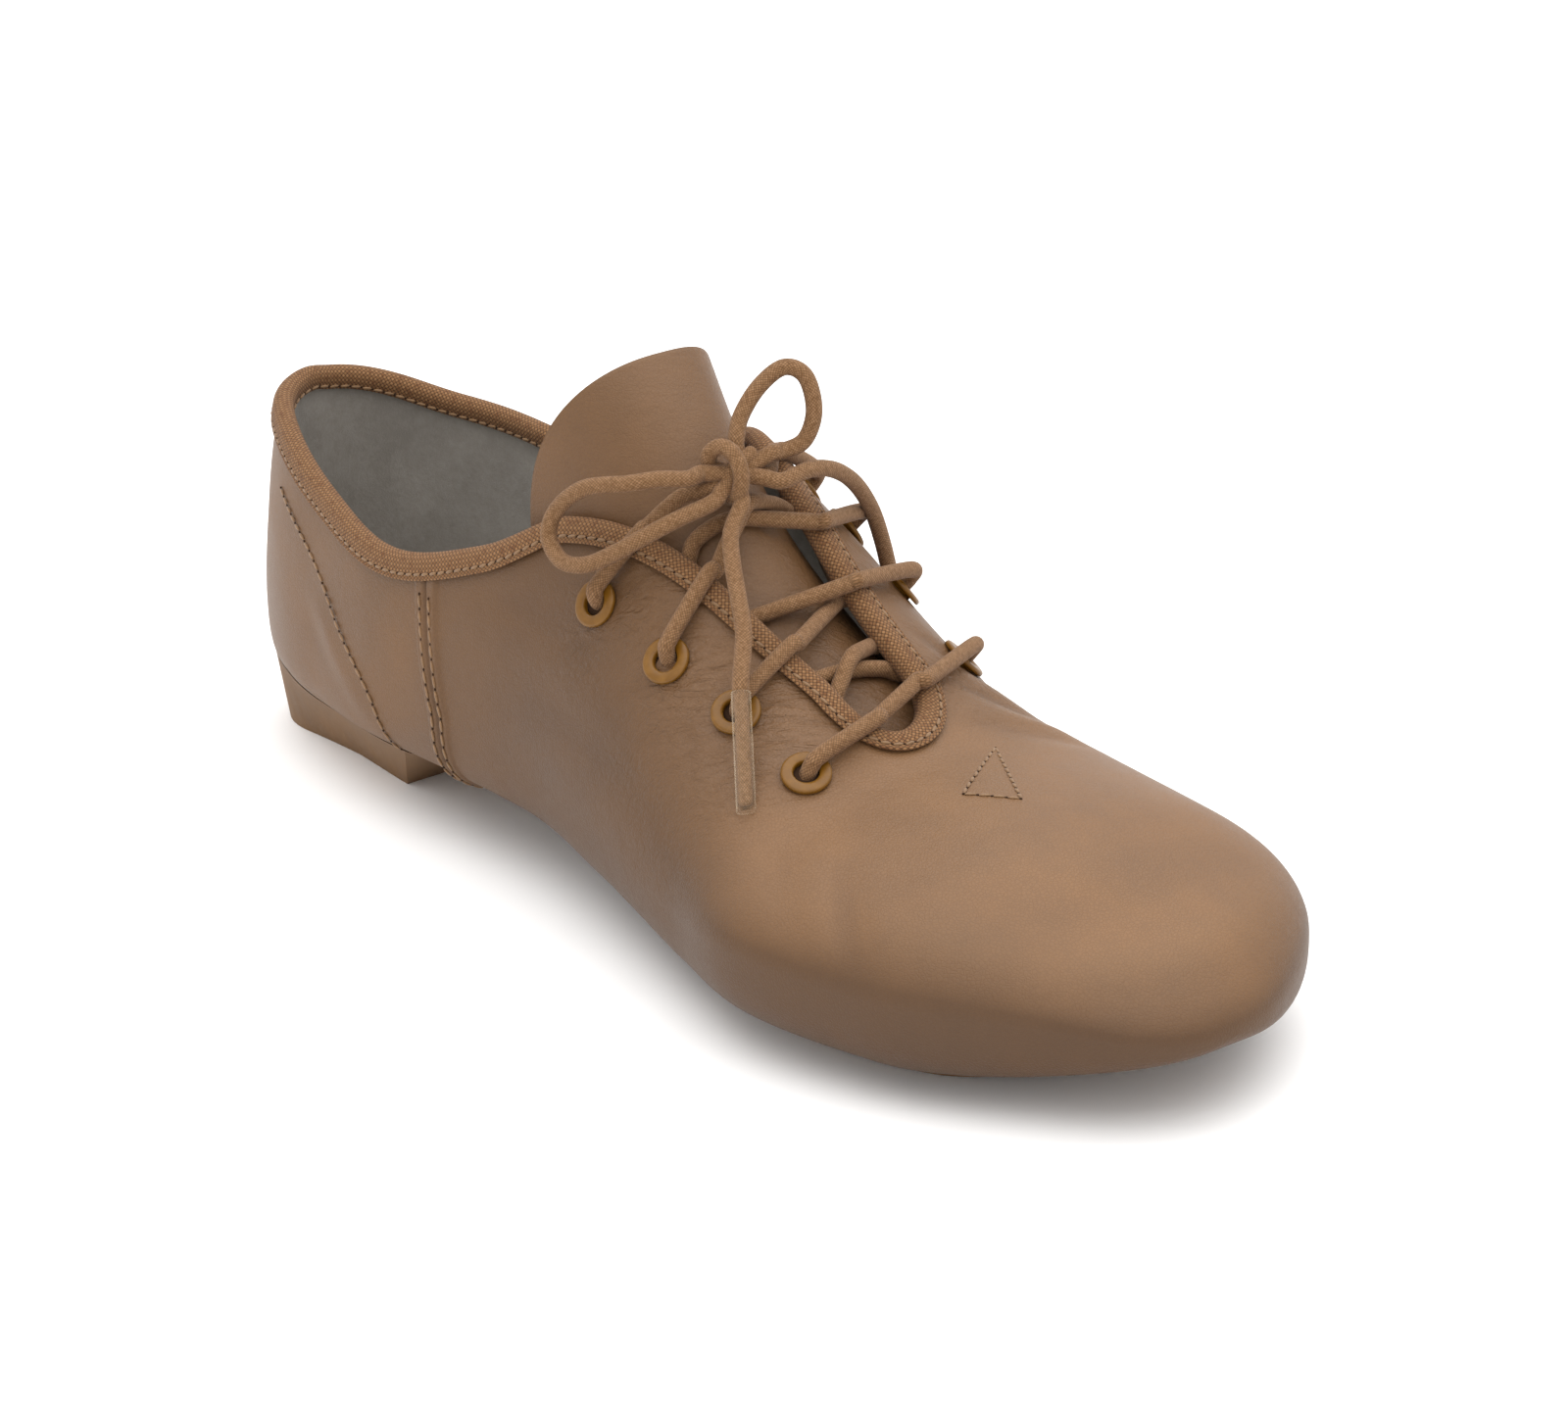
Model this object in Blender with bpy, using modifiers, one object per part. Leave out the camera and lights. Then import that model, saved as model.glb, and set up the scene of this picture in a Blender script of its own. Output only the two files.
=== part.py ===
# A soft leather jazz shoe for the right foot, laced with four pairs of eyelets.
#
# The shoe is modelled from the back of the heel forwards: +X runs to the toe, +Y to the inner
# (big toe) side, +Z up, and the floor is z = 0. Every piece is then moved back by SEAT_X, so that
# the origin lies on the floor under the middle of the heel. The upper, the sole, the heel, the
# insole and the binding all come from one function, last_point, which gives the last's surface
# from a short table of sections. Angles go round a section: 0 is the top ridge, 90 the widest
# place, 180 the start of the flat keel and KEEL its middle line.

import functools
import math

import bmesh
import bpy
import numpy as np
from mathutils import Matrix, Vector

MM = 0.001
NAME = "jazz_shoe"

# The last
LENGTH = 250 * MM
BALL_WIDTH = 90 * MM
INSTEP_HEIGHT = 98 * MM
SEAT_X = 29 * MM
HEEL_ROUND = 36 * MM
HEEL_TOP_ROUND = 12 * MM
HEEL_UNDER_ROUND = 10 * MM
TOE_ROUND = 42 * MM
TOE_TOP_ROUND = 34 * MM
TOE_UNDER_ROUND = 32 * MM
TOE_FULLNESS = 2.12
KEEL_FLAT = 0.30
KEEL_ROUNDNESS = 3.1
KEEL = 200.0

# Walls and clearances
GAP = 0.3 * MM
WALL = 1.5 * MM
SOLE_THICKNESS = 2.0 * MM
HEEL_HEIGHT = 9.2 * MM
INSOLE_THICKNESS = 1.6 * MM
TONGUE_THICKNESS = 1.4 * MM

# Openings, seam and trim
COLLAR_HEIGHT = 62 * MM
THROAT_WIDTH = 40 * MM
SEAM_WIDTH = 5 * MM
SEAM_STEP = 0.5 * MM
SEAM_RAMP = 0.8 * MM
SEAM_LEAN = 6.4 * MM
SEAM_AT = 0.303
LEAN_REACH = 28 * MM
BINDING_THICKNESS = 0.7 * MM
BINDING_FLANGE = 2.7 * MM
BINDING_INNER = 1.8 * MM
BINDING_CLEARANCE = 0.25 * MM
EYELET_RADIUS = 4.25 * MM
EYELET_BORE = 2.3 * MM
EYELET_WALL = 0.4 * MM
EYELET_LIP = 1.1 * MM
EYELET_CLINCH = 3.8 * MM
CLINCH_CLEARANCE = 1.0 * MM
CLINCH_THICKNESS = 0.6 * MM
LACE_DIAMETER = 2.9 * MM
AGLET_DIAMETER = 3.3 * MM
AGLET_LENGTH = 20 * MM

# The last's sections. Widths and the sideways shift are shares of half the ball width, heights
# are shares of the instep height, and lift is a share of the heel's rise over the sole.
SECTIONS = (
    ("station", "outer", "inner", "shift", "widest", "lift", "top", "outer_round", "inner_round"),
    (0.00, 0.540, 0.565, -0.110, 0.275, 1.00, 0.820, 1.70, 2.00),
    (0.12, 0.627, 0.611, -0.053, 0.252, 1.00, 0.972, 1.65, 2.10),
    (0.25, 0.720, 0.636, -0.035, 0.262, 1.04, 1.000, 1.70, 2.15),
    (0.40, 0.713, 0.674, 0.000, 0.265, 0.95, 0.880, 1.70, 2.25),
    (0.52, 0.797, 0.755, 0.000, 0.228, 0.56, 0.712, 1.73, 2.20),
    (0.64, 0.916, 0.870, -0.013, 0.192, 0.10, 0.498, 1.78, 1.95),
    (0.72, 0.992, 1.008, -0.030, 0.202, 0.00, 0.396, 1.80, 2.00),
    (0.82, 0.919, 0.962, 0.010, 0.190, 0.00, 0.384, 1.80, 2.00),
    (0.92, 0.758, 0.822, 0.060, 0.187, 0.46, 0.325, 1.80, 2.05),
    (1.00, 0.656, 0.663, 0.004, 0.162, 0.79, 0.285, 1.80, 2.10),
)

# The collar's height on each side, as shares of COLLAR_HEIGHT, and the throat's half openings,
# as shares of half of THROAT_WIDTH. The collar's last row is the throat's corner.
COLLAR = (
    ("station", "outer", "inner"),
    (0.000, 1.030, 1.030),
    (0.078, 0.965, 0.910),
    (0.172, 0.866, 0.870),
    (0.260, 0.808, 0.850),
    (0.357, 0.907, 0.993),
    (0.416, 1.040, 1.150),
)
THROAT = (
    ("station", "outer", "inner"),
    (0.500, 0.810, 0.690),
    (0.583, 0.590, 0.530),
    (0.640, 0.400, 0.560),
)
THROAT_END = 0.690

# The tongue's sections, from its end under the vamp to its free end: the middle's height, the
# half width and how far the sides drop, as shares of the instep height or half the ball width,
# and how far the sides lean back for each length that they drop.
TONGUE = (
    ("station", "middle", "width", "drop", "lean"),
    (0.815, 0.352, 0.300, 0.012, 0.00),
    (0.750, 0.352, 0.380, 0.018, 0.00),
    (0.700, 0.372, 0.460, 0.060, 0.00),
    (0.640, 0.446, 0.470, 0.120, 0.00),
    (0.580, 0.548, 0.440, 0.190, 0.05),
    (0.520, 0.708, 0.372, 0.270, 0.20),
    (0.474, 0.835, 0.366, 0.310, 0.45),
    (0.432, 0.938, 0.390, 0.330, 0.62),
)
TONGUE_SHIFT = -1.0 * MM

# Each pair of eyelets, from the toe back: stations along the last and how far each lies from
# the throat's edge, as a share of half the ball width.
EYELETS = (
    ("outer_station", "outer_depth", "inner_station", "inner_depth"),
    (0.679, 0.325, 0.615, 0.420),
    (0.615, 0.290, 0.556, 0.400),
    (0.553, 0.310, 0.498, 0.360),
    (0.478, 0.268, 0.455, 0.280),
)

# The cord's routes in millimetres, from the knot outwards, chosen along the real lace.
KNOT = ((132.2, -4.0, 77.8), (4.2, 4.0, 4.4))
LOOP_OUTER = (
    (129.4, -9.6, 78.4), (130.1, -13.0, 78.4), (128.2, -17.4, 78.9), (124.9, -21.4, 78.2),
    (117.6, -25.2, 76.3), (112.4, -27.2, 71.6), (111.8, -28.7, 67.0), (115.9, -29.2, 63.9),
    (121.0, -28.2, 64.3), (124.9, -26.0, 66.4), (129.4, -22.0, 70.0), (132.0, -17.0, 72.6),
    (132.9, -10.0, 74.2),
)
LOOP_INNER = (
    (130.0, -2.4, 82.6), (128.4, 0.0, 86.0), (128.4, 4.0, 90.4), (130.2, 8.0, 93.4),
    (133.0, 10.4, 91.9), (134.9, 10.6, 86.3), (134.6, 8.6, 81.4), (133.4, 4.6, 80.0),
    (133.4, 2.4, 80.2),
)
END_OUTER = (
    (135.4, -5.6, 73.6), (137.4, -9.6, 70.0), (141.6, -12.7, 66.6), (146.6, -15.5, 62.5),
    (151.6, -18.5, 58.5), (157.0, -23.5, 53.4), (158.1, -24.4, 51.9),
)
END_INNER = (
    (137.4, 1.6, 76.6), (137.0, 7.0, 77.0), (136.1, 12.0, 76.0), (134.6, 17.0, 73.4),
    (132.6, 22.0, 69.2), (130.4, 26.8, 63.2), (128.8, 30.4, 56.0), (127.8, 33.0, 48.6),
)

# Colours, linear, with roughness and metallic values
FINISHES = {
    "leather": ((0.235, 0.135, 0.080), 0.50, 0.0),
    "rubber": ((0.240, 0.145, 0.085), 0.65, 0.0),
    "suede": ((0.270, 0.250, 0.225), 0.95, 0.0),
    "braid": ((0.330, 0.180, 0.085), 0.85, 0.0),
    "enamel": ((0.300, 0.165, 0.035), 0.35, 0.5),
    "cord": ((0.400, 0.240, 0.130), 0.90, 0.0),
    "aglet": ((0.500, 0.330, 0.200), 0.20, 0.0),
}


def columns(rows):
    """The rows under their header, as one array for each named column."""
    return dict(zip(rows[0], np.array(rows[1:], float).T))


def smooth(xs, ys, x):
    """A curve through the points that never overshoots between them."""
    step = np.diff(xs)
    slope = np.diff(ys) / step
    tangent = np.zeros_like(ys)
    tangent[0], tangent[-1] = slope[0], slope[-1]
    turning = slope[:-1] * slope[1:] > 0
    first = 2 * step[1:] + step[:-1]
    second = step[1:] + 2 * step[:-1]
    with np.errstate(divide="ignore", invalid="ignore"):
        mean = (first + second) / (first / slope[:-1] + second / slope[1:])
    tangent[1:-1] = np.where(turning, mean, 0.0)
    x = np.clip(x, xs[0], xs[-1])
    at = np.clip(np.searchsorted(xs, x) - 1, 0, len(step) - 1)
    t = (x - xs[at]) / step[at]
    return ((2 * t**3 - 3 * t**2 + 1) * ys[at] + (t**3 - 2 * t**2 + t) * step[at] * tangent[at]
            + (3 * t**2 - 2 * t**3) * ys[at + 1] + (t**3 - t**2) * step[at] * tangent[at + 1])


def closing(share, fullness=2.0):
    """How a round end opens from nothing to its full size as share goes from 0 to 1."""
    share = np.clip(share, 0, 1)
    return (1 - (1 - share) ** fullness) ** (1 / fullness)


def section(x, inset=0.0):
    """The sizes of the last's section at x, or of the one that lies inset inside it."""
    table = columns(SECTIONS)
    share = np.asarray(x, float) / LENGTH
    value = {name: smooth(table["station"], table[name], share) for name in table}
    ends = (closing((x - inset) / (HEEL_ROUND - inset))
            * closing((LENGTH - x - inset) / (TOE_ROUND - inset), TOE_FULLNESS))
    over = (closing((x - inset) / (HEEL_TOP_ROUND - inset))
            * closing((LENGTH - x - inset) / (TOE_TOP_ROUND - inset)))
    under = (closing((x - inset) / (HEEL_UNDER_ROUND - inset))
             * closing((LENGTH - x - inset) / (TOE_UNDER_ROUND - inset)))
    ball = SOLE_THICKNESS + GAP
    bottom = ball + value["lift"] * (HEEL_HEIGHT + GAP - ball)
    widest = value["widest"] * INSTEP_HEIGHT
    half = BALL_WIDTH / 2
    return {
        "outer": (value["outer"] * half - inset) * ends,
        "inner": (value["inner"] * half - inset) * ends,
        "middle": value["shift"] * half,
        "widest": widest,
        "up": (value["top"] * INSTEP_HEIGHT - widest - inset) * over,
        "down": (widest - bottom - inset) * under,
        "outer_round": value["outer_round"],
        "inner_round": value["inner_round"],
    }


def last_point(x, angle, side, inset=0.0):
    """The last's surface at x and angle, on the outer (side -1) or the inner side (side 1)."""
    x, angle = np.broadcast_arrays(np.asarray(x, float), np.asarray(angle, float))
    size = section(x, inset)
    width = np.where(side < 0, size["outer"], size["inner"])
    power = 2 / np.where(side < 0, size["outer_round"], size["inner_round"])
    turn = np.radians(np.minimum(angle, 180))
    sine = np.abs(np.sin(turn))
    cosine = np.abs(np.cos(turn))
    below = angle > 90
    keel = 2 / KEEL_ROUNDNESS
    flat = KEEL_FLAT * np.clip((KEEL - angle) / (KEEL - 180), 0, 1)
    across = np.where(below, flat + (1 - KEEL_FLAT) * sine**keel, sine**power)
    rise = np.where(below, -size["down"] * cosine**keel, size["up"] * cosine**power)
    y = size["middle"] + side * width * across
    return np.stack([x, y, size["widest"] + rise], -1)


def underside(x, share, inset=0.0):
    """The last's lower surface at x, share of the way from its middle to its widest line."""
    x, share = np.broadcast_arrays(np.asarray(x, float), np.asarray(share, float))
    size = section(x, inset)
    width = np.where(share < 0, size["outer"], size["inner"])
    bend = np.clip((np.abs(share) - KEEL_FLAT) / (1 - KEEL_FLAT), 0, 1)
    drop = (1 - bend**KEEL_ROUNDNESS) ** (1 / KEEL_ROUNDNESS)
    return np.stack([x, size["middle"] + share * width, size["widest"] - size["down"] * drop], -1)


def collar_height(x, side):
    """The height of the collar's edge at x."""
    table = columns(COLLAR)
    return COLLAR_HEIGHT * smooth(table["station"], table["outer" if side < 0 else "inner"], x / LENGTH)


def collar_angle(x, side):
    """The angle on the section at x where the collar cuts the last."""
    size = section(x)
    name = "outer" if side < 0 else "inner"
    share = np.clip((collar_height(x, side) - size["widest"]) / np.maximum(size["up"], 1e-9), 0, 1)
    return np.degrees(np.arccos(share ** (size[name + "_round"] / 2)))


def corner_x():
    """Where the collar turns into the throat."""
    return columns(COLLAR)["station"][-1] * LENGTH


def back_x():
    """Where the collar crosses the last's ridge at the back, found by halving."""
    low, high = 0.0, HEEL_TOP_ROUND
    for _ in range(40):
        middle = (low + high) / 2
        size = section(middle)
        if size["widest"] + size["up"] < collar_height(middle, -1):
            low = middle
        else:
            high = middle
    return high


def throat_angle(x, side):
    """The angle on the section at x where the throat's edge cuts the last."""
    name = "outer" if side < 0 else "inner"
    table = columns(THROAT)
    size = section(corner_x())
    corner = math.radians(float(collar_angle(corner_x(), side)))
    corner_gap = size[name] * math.sin(corner) ** (2 / size[name + "_round"])
    stations = np.array([corner_x() / LENGTH, *table["station"]])
    gaps = np.array([corner_gap, *(table[name] * THROAT_WIDTH / 2)])
    end = THROAT_END * LENGTH
    tip = (end - x) / (end - stations[-1] * LENGTH)
    gap = smooth(stations, gaps, np.minimum(x / LENGTH, stations[-1])) * closing(tip)
    size = section(x)
    share = np.clip(gap / size[name], 0, 1)
    return np.degrees(np.arcsin(share ** (size[name + "_round"] / 2)))


def edge_angle(x, side):
    """The angle of the opening's edge at x, which is 0 where the last is closed."""
    if x <= back_x() or x >= THROAT_END * LENGTH:
        return 0.0
    if x <= corner_x():
        return float(collar_angle(x, side))
    return float(throat_angle(x, side))


def stations():
    """The upper's rows from heel to toe, close together where the openings begin and end."""
    back, corner, end = back_x(), corner_x(), THROAT_END * LENGTH
    seam = SEAM_AT * LENGTH
    half = SEAM_WIDTH / 2
    heel = back * (1 - np.cos(np.linspace(0, np.pi / 2, 5)))[:-1]
    collar = back + (seam - half - SEAM_RAMP - back) * np.linspace(0, 1, 10) ** 1.9
    strip = np.array([seam - half, seam, seam + half, seam + half + SEAM_RAMP])
    waist = np.linspace(strip[-1], corner, 5)[1:]
    throat = corner + (end - corner) * (1 - (1 - np.linspace(0, 1, 11)) ** 1.9)[1:]
    toe = end + (LENGTH - end) * np.sin(np.linspace(0, np.pi / 2, 12))[1:]
    return np.concatenate([heel, collar, strip, waist, throat, toe])


ABOVE = (0.0, 0.14, 0.30, 0.50, 0.74, 1.0)
BELOW = (108.0, 126.0, 144.0, 162.0, 180.0)


def column_angles(x, side):
    """The angles of the upper's columns at x, from the opening's edge to the flat keel."""
    edge = edge_angle(x, side)
    return np.array([edge + share * (90 - edge) for share in ABOVE] + list(BELOW))


def seam_lean(x, angle, edge):
    """How far a row near the side seam leans forwards at this angle."""
    window = np.clip(1 - ((x - SEAM_AT * LENGTH) / LEAN_REACH) ** 2, 0, 1) ** 2
    depth = np.clip((angle - edge) / (90 - edge), 0, 1)
    return SEAM_LEAN * window * depth


def upper_grid():
    """The upper's outer surface: a row for each station, columns from edge to edge under it."""
    rows = []
    seam = SEAM_AT * LENGTH
    for x in stations():
        raised = SEAM_STEP if abs(x - seam) <= SEAM_WIDTH / 2 + 1e-9 else 0.0
        sides = []
        for side in (-1, 1):
            angles = column_angles(x, side)
            lean = seam_lean(x, angles, angles[0])
            sides.append(last_point(x + lean, angles, side, -raised))
        keel = last_point(x + seam_lean(x, KEEL, 0), KEEL, 1, -raised)[None]
        rows.append(np.concatenate([sides[0], keel, sides[1][::-1]]))
    return np.array(rows)


def new_material(slot):
    colour, roughness, metallic = FINISHES[slot]
    material = bpy.data.materials.get(slot) or bpy.data.materials.new(slot)
    material.use_nodes = True
    shader = material.node_tree.nodes["Principled BSDF"]
    shader.inputs["Base Color"].default_value = (*colour, 1.0)
    shader.inputs["Roughness"].default_value = roughness
    shader.inputs["Metallic"].default_value = metallic
    return material


def add_object(name, mesh, slot, collection):
    """Puts a mesh or curve in the scene under its name, with its material."""
    piece = bpy.data.objects.new(name, mesh)
    if slot:
        mesh.materials.append(new_material(slot))
    collection.objects.link(piece)
    return piece


def mesh_from(name, points, faces):
    """A mesh in the shoe's frame, its doubled points merged and its faces turned outwards."""
    mesh = bpy.data.meshes.new(name)
    moved = np.reshape(points, (-1, 3)) - (SEAT_X, 0, 0)
    mesh.from_pydata(moved.tolist(), [], faces)
    edit = bmesh.new()
    edit.from_mesh(mesh)
    bmesh.ops.remove_doubles(edit, verts=edit.verts, dist=0.002 * MM)
    bmesh.ops.recalc_face_normals(edit, faces=edit.faces)
    edit.to_mesh(mesh)
    edit.free()
    mesh.shade_smooth()
    mesh.set_sharp_from_angle(angle=math.radians(40))
    return mesh


def grid_faces(rows, across, first=0, wrap_rows=False, wrap_columns=False):
    """The quads between neighbouring rows and columns of a grid of points."""
    faces = []
    for i in range(rows if wrap_rows else rows - 1):
        for j in range(across if wrap_columns else across - 1):
            a = first + i * across + j
            b = first + i * across + (j + 1) % across
            c = first + (i + 1) % rows * across + (j + 1) % across
            d = first + (i + 1) % rows * across + j
            faces.append((a, b, c, d))
    return faces


def slab(name, top, bottom):
    """A closed solid between two grids of the same size."""
    rows, across = top.shape[:2]
    count = rows * across
    faces = grid_faces(rows, across) + grid_faces(rows, across, count)
    rim = [i * across for i in range(rows)]
    rim += [(rows - 1) * across + j for j in range(1, across)]
    rim += [i * across + across - 1 for i in range(rows - 2, -1, -1)]
    rim += list(range(across - 2, 0, -1))
    for a, b in zip(rim, rim[1:] + rim[:1]):
        faces.append((a, b, b + count, a + count))
    return mesh_from(name, np.concatenate([top.reshape(-1, 3), bottom.reshape(-1, 3)]), faces)


def add_solidify(piece, thickness):
    shell = piece.modifiers.new("wall", "SOLIDIFY")
    shell.thickness = thickness
    shell.offset = -1
    shell.use_even_offset = True
    shell.use_rim = True


def outward(points, faces, inside):
    """The faces, turned so that the first one points away from the point inside."""
    corners = np.reshape(points, (-1, 3))
    flips = 0
    for face in faces:
        a, b, c, d = (corners[i] for i in face)
        normal = np.cross(c - a, d - b)
        flips += 1 if normal @ ((a + c) / 2 - inside) < 0 else -1
    return [face[::-1] for face in faces] if flips > 0 else faces


def shell_mesh(name, points, faces, inside):
    """An open surface whose faces point away from the point inside."""
    mesh = bpy.data.meshes.new(name)
    moved = np.reshape(points, (-1, 3)) - (SEAT_X, 0, 0)
    mesh.from_pydata(moved.tolist(), [], outward(points, faces, inside))
    edit = bmesh.new()
    edit.from_mesh(mesh)
    bmesh.ops.remove_doubles(edit, verts=edit.verts, dist=0.002 * MM)
    edit.to_mesh(mesh)
    edit.free()
    mesh.shade_smooth()
    mesh.set_sharp_from_angle(angle=math.radians(40))
    return mesh


# Where the upper is open underneath, as shares of the length: under the forefoot sole and heel
WINDOWS = ((0.045, 0.20), (0.60, 0.86))
WINDOW_MARGIN = 1


def make_upper(collection, cutters):
    """One hollow leather shell, open at the collar, the throat and under the sole and heel."""
    grid = upper_grid()
    rows, across = grid.shape[:2]
    middle = across // 2
    share = stations() / LENGTH
    faces = []
    for i in range(rows - 1):
        centre = (share[i] + share[i + 1]) / 2
        window = any(low < centre < high for low, high in WINDOWS)
        for j in range(across - 1):
            if window and middle - WINDOW_MARGIN <= j < middle + WINDOW_MARGIN:
                continue
            faces.append((i * across + j, i * across + j + 1, (i + 1) * across + j + 1, (i + 1) * across + j))
    inside = np.array([LENGTH / 2, 0, INSTEP_HEIGHT / 4])
    upper = add_object("upper", shell_mesh("upper", grid, faces, inside), "leather", collection)
    add_solidify(upper, WALL)
    for index, (seat, normal) in enumerate(eyelet_seats()):
        hole = cut_tool("eyelet_hole_%d" % (index + 1), seat, normal, cutters)
        cut = upper.modifiers.new("eyelet", "BOOLEAN")
        cut.operation = "DIFFERENCE"
        cut.solver = "EXACT"
        cut.object = hole
    return upper


def cut_tool(name, seat, normal, cutters):
    """A round cutter through the wall at an eyelet's seat."""
    bpy.ops.mesh.primitive_cylinder_add(vertices=12, radius=EYELET_BORE + EYELET_WALL + GAP, depth=8 * WALL)
    tool = bpy.context.object
    tool.name = name
    tool.matrix_world = facing(seat, normal)
    tool.hide_render = True
    tool.display_type = "WIRE"
    for home in list(tool.users_collection):
        home.objects.unlink(tool)
    cutters.objects.link(tool)
    return tool


def facing(seat, normal):
    """The placing of a turned piece whose axis follows the normal."""
    turn = Vector(normal).to_track_quat("Z", "Y").to_matrix().to_4x4()
    return Matrix.Translation(Vector(seat) - Vector((SEAT_X, 0, 0))) @ turn


@functools.lru_cache(maxsize=None)
def edge_loop():
    """The opening's edge with the upper's own corners: points, outward normals, ways out."""
    grid = upper_grid()
    rows = stations()
    back = int(np.argmin(np.abs(rows - back_x())))
    end = int(np.argmin(np.abs(rows - THROAT_END * LENGTH)))
    outer = [(grid[i, 0], grid[i, 1]) for i in range(back + 1, end)]
    inner = [(grid[i, -1], grid[i, -2]) for i in range(end - 1, back, -1)]
    heel = [(grid[back, 0], grid[back - 1, 0])]
    toe = [(grid[end, 0], grid[end + 1, 0])]
    pairs = np.array(heel + outer + toe + inner)
    edge, below = pairs[:, 0], pairs[:, 1]
    along = np.roll(edge, -1, 0) - np.roll(edge, 1, 0)
    along /= np.linalg.norm(along, axis=1)[:, None]
    out = edge - below
    out -= (out * along).sum(1)[:, None] * along
    out /= np.linalg.norm(out, axis=1)[:, None]
    normal = np.cross(along, out)
    normal /= np.linalg.norm(normal, axis=1)[:, None]
    away = edge - (LENGTH * 0.4, 0, INSTEP_HEIGHT * 0.3)
    normal *= np.sign((normal * away).sum(1))[:, None]
    return edge, normal, out


def binding_profile():
    """The braid's section: (outwards from the wall's face, out past the wall's edge)."""
    near, far = GAP + BINDING_CLEARANCE, -WALL - GAP - BINDING_CLEARANCE
    thick = BINDING_THICKNESS
    centre = -WALL / 2
    radius = near + WALL / 2 + thick
    roll = [(centre + radius * math.cos(t), GAP + radius * math.sin(t))
            for t in np.radians((10, 50, 90, 130, 170))]
    return np.array([(near, GAP), (near, -BINDING_FLANGE), (near + thick, -BINDING_FLANGE), *roll,
                     (far - thick, -BINDING_INNER), (far, -BINDING_INNER), (far, GAP)])


def make_binding(collection):
    """The braided tape that is folded over the whole edge of the collar and throat."""
    edge, normal, out = edge_loop()
    profile = binding_profile()
    points = (edge[:, None] + profile[None, :, :1] * normal[:, None] + profile[None, :, 1:] * out[:, None])
    faces = grid_faces(len(edge), len(profile), 0, True, True)
    return add_object("binding", mesh_from("binding", points, faces), "braid", collection)


def eyelet_place(x, side, depth):
    """A point on the last, depth below the throat's edge, and the outward normal there."""
    edge = edge_angle(x, side)
    angles = np.linspace(edge, 90, 60)
    line = last_point(x, angles, side)
    run = np.concatenate([[0], np.cumsum(np.linalg.norm(np.diff(line, axis=0), axis=1))])
    angle = float(np.interp(depth, run, angles))
    step = 2.0
    along = last_point(x + step * MM, angle, side) - last_point(x - step * MM, angle, side)
    across = last_point(x, angle + step, side) - last_point(x, angle - step, side)
    normal = np.cross(along, across)
    normal /= np.linalg.norm(normal)
    return last_point(x, angle, side), normal * np.sign(normal[2])


def eyelet_seats():
    """The eyelets' seats and normals: the outer row from the toe back, then the inner row."""
    table = columns(EYELETS)
    half = BALL_WIDTH / 2
    found = []
    for side, name in ((-1, "outer"), (1, "inner")):
        for station, depth in zip(table[name + "_station"], table[name + "_depth"]):
            found.append(eyelet_place(station * LENGTH, side, depth * half))
    return found


def make_eyelets(collection):
    """Eight turned eyelets: a lip outside the wall, a barrel through it and a clinch inside."""
    bore, barrel = EYELET_BORE, EYELET_BORE + EYELET_WALL
    inside = -WALL - CLINCH_CLEARANCE
    profile = [
        (bore + 0.5 * EYELET_WALL, GAP + 0.85 * EYELET_LIP),
        ((bore + EYELET_RADIUS) / 2, GAP + EYELET_LIP),
        (EYELET_RADIUS, GAP + 0.35 * EYELET_LIP),
        (EYELET_RADIUS - 0.5 * EYELET_WALL, GAP),
        (barrel, GAP),
        (barrel, inside),
        (EYELET_CLINCH, inside),
        (EYELET_CLINCH, inside - CLINCH_THICKNESS),
        (bore, inside - CLINCH_THICKNESS),
    ]
    made = []
    for index, (seat, normal) in enumerate(eyelet_seats()):
        side = "outer" if index < 4 else "inner"
        name = "eyelet_%s_%d" % (side, index % 4 + 1)
        mesh = bpy.data.meshes.new(name)
        count = len(profile)
        mesh.from_pydata([(r, 0, z) for r, z in profile], [(i, (i + 1) % count) for i in range(count)], [])
        eyelet = add_object(name, mesh, "enamel", collection)
        screw = eyelet.modifiers.new("turn", "SCREW")
        screw.steps = 10
        screw.render_steps = 10
        screw.use_merge_vertices = True
        screw.merge_threshold = 0.00001
        screw.use_smooth_shade = True
        eyelet.matrix_world = facing(seat, normal)
        made.append(eyelet)
    return made


def tongue_point(station, share):
    """The tongue's outer face: station along the last, share -1 to 1 from side to side."""
    table = columns(TONGUE)
    order = np.argsort(table["station"])
    value = {name: smooth(table["station"][order], table[name][order], station) for name in table}
    turn = np.pi / 2 * np.asarray(share, float)
    drop = value["drop"] * INSTEP_HEIGHT * (1 - np.cos(turn))
    x = station * LENGTH - value["lean"] * drop
    y = TONGUE_SHIFT + value["width"] * BALL_WIDTH / 2 * np.sin(turn)
    return np.stack([x + 0 * y, y, value["middle"] * INSTEP_HEIGHT - drop], -1)


def make_tongue(collection):
    """One bent leather sheet, from under the vamp to its free end above the collar."""
    table = columns(TONGUE)
    rows = np.linspace(table["station"][0], table["station"][-1], 15)
    shares = np.linspace(-1, 1, 11)
    grid = np.array([tongue_point(station, shares) for station in rows])
    inside = np.array([LENGTH / 2, 0, 0])
    faces = grid_faces(len(rows), len(shares))
    tongue = add_object("tongue", shell_mesh("tongue", grid, faces, inside), "leather", collection)
    add_solidify(tongue, TONGUE_THICKNESS)
    return tongue


INSOLE_ENDS = (0.032, 0.962)
INSOLE_WIDTH = 0.60
SHARES = (-1.0, -0.72, -0.38, 0.0, 0.38, 0.72, 1.0)


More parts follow.
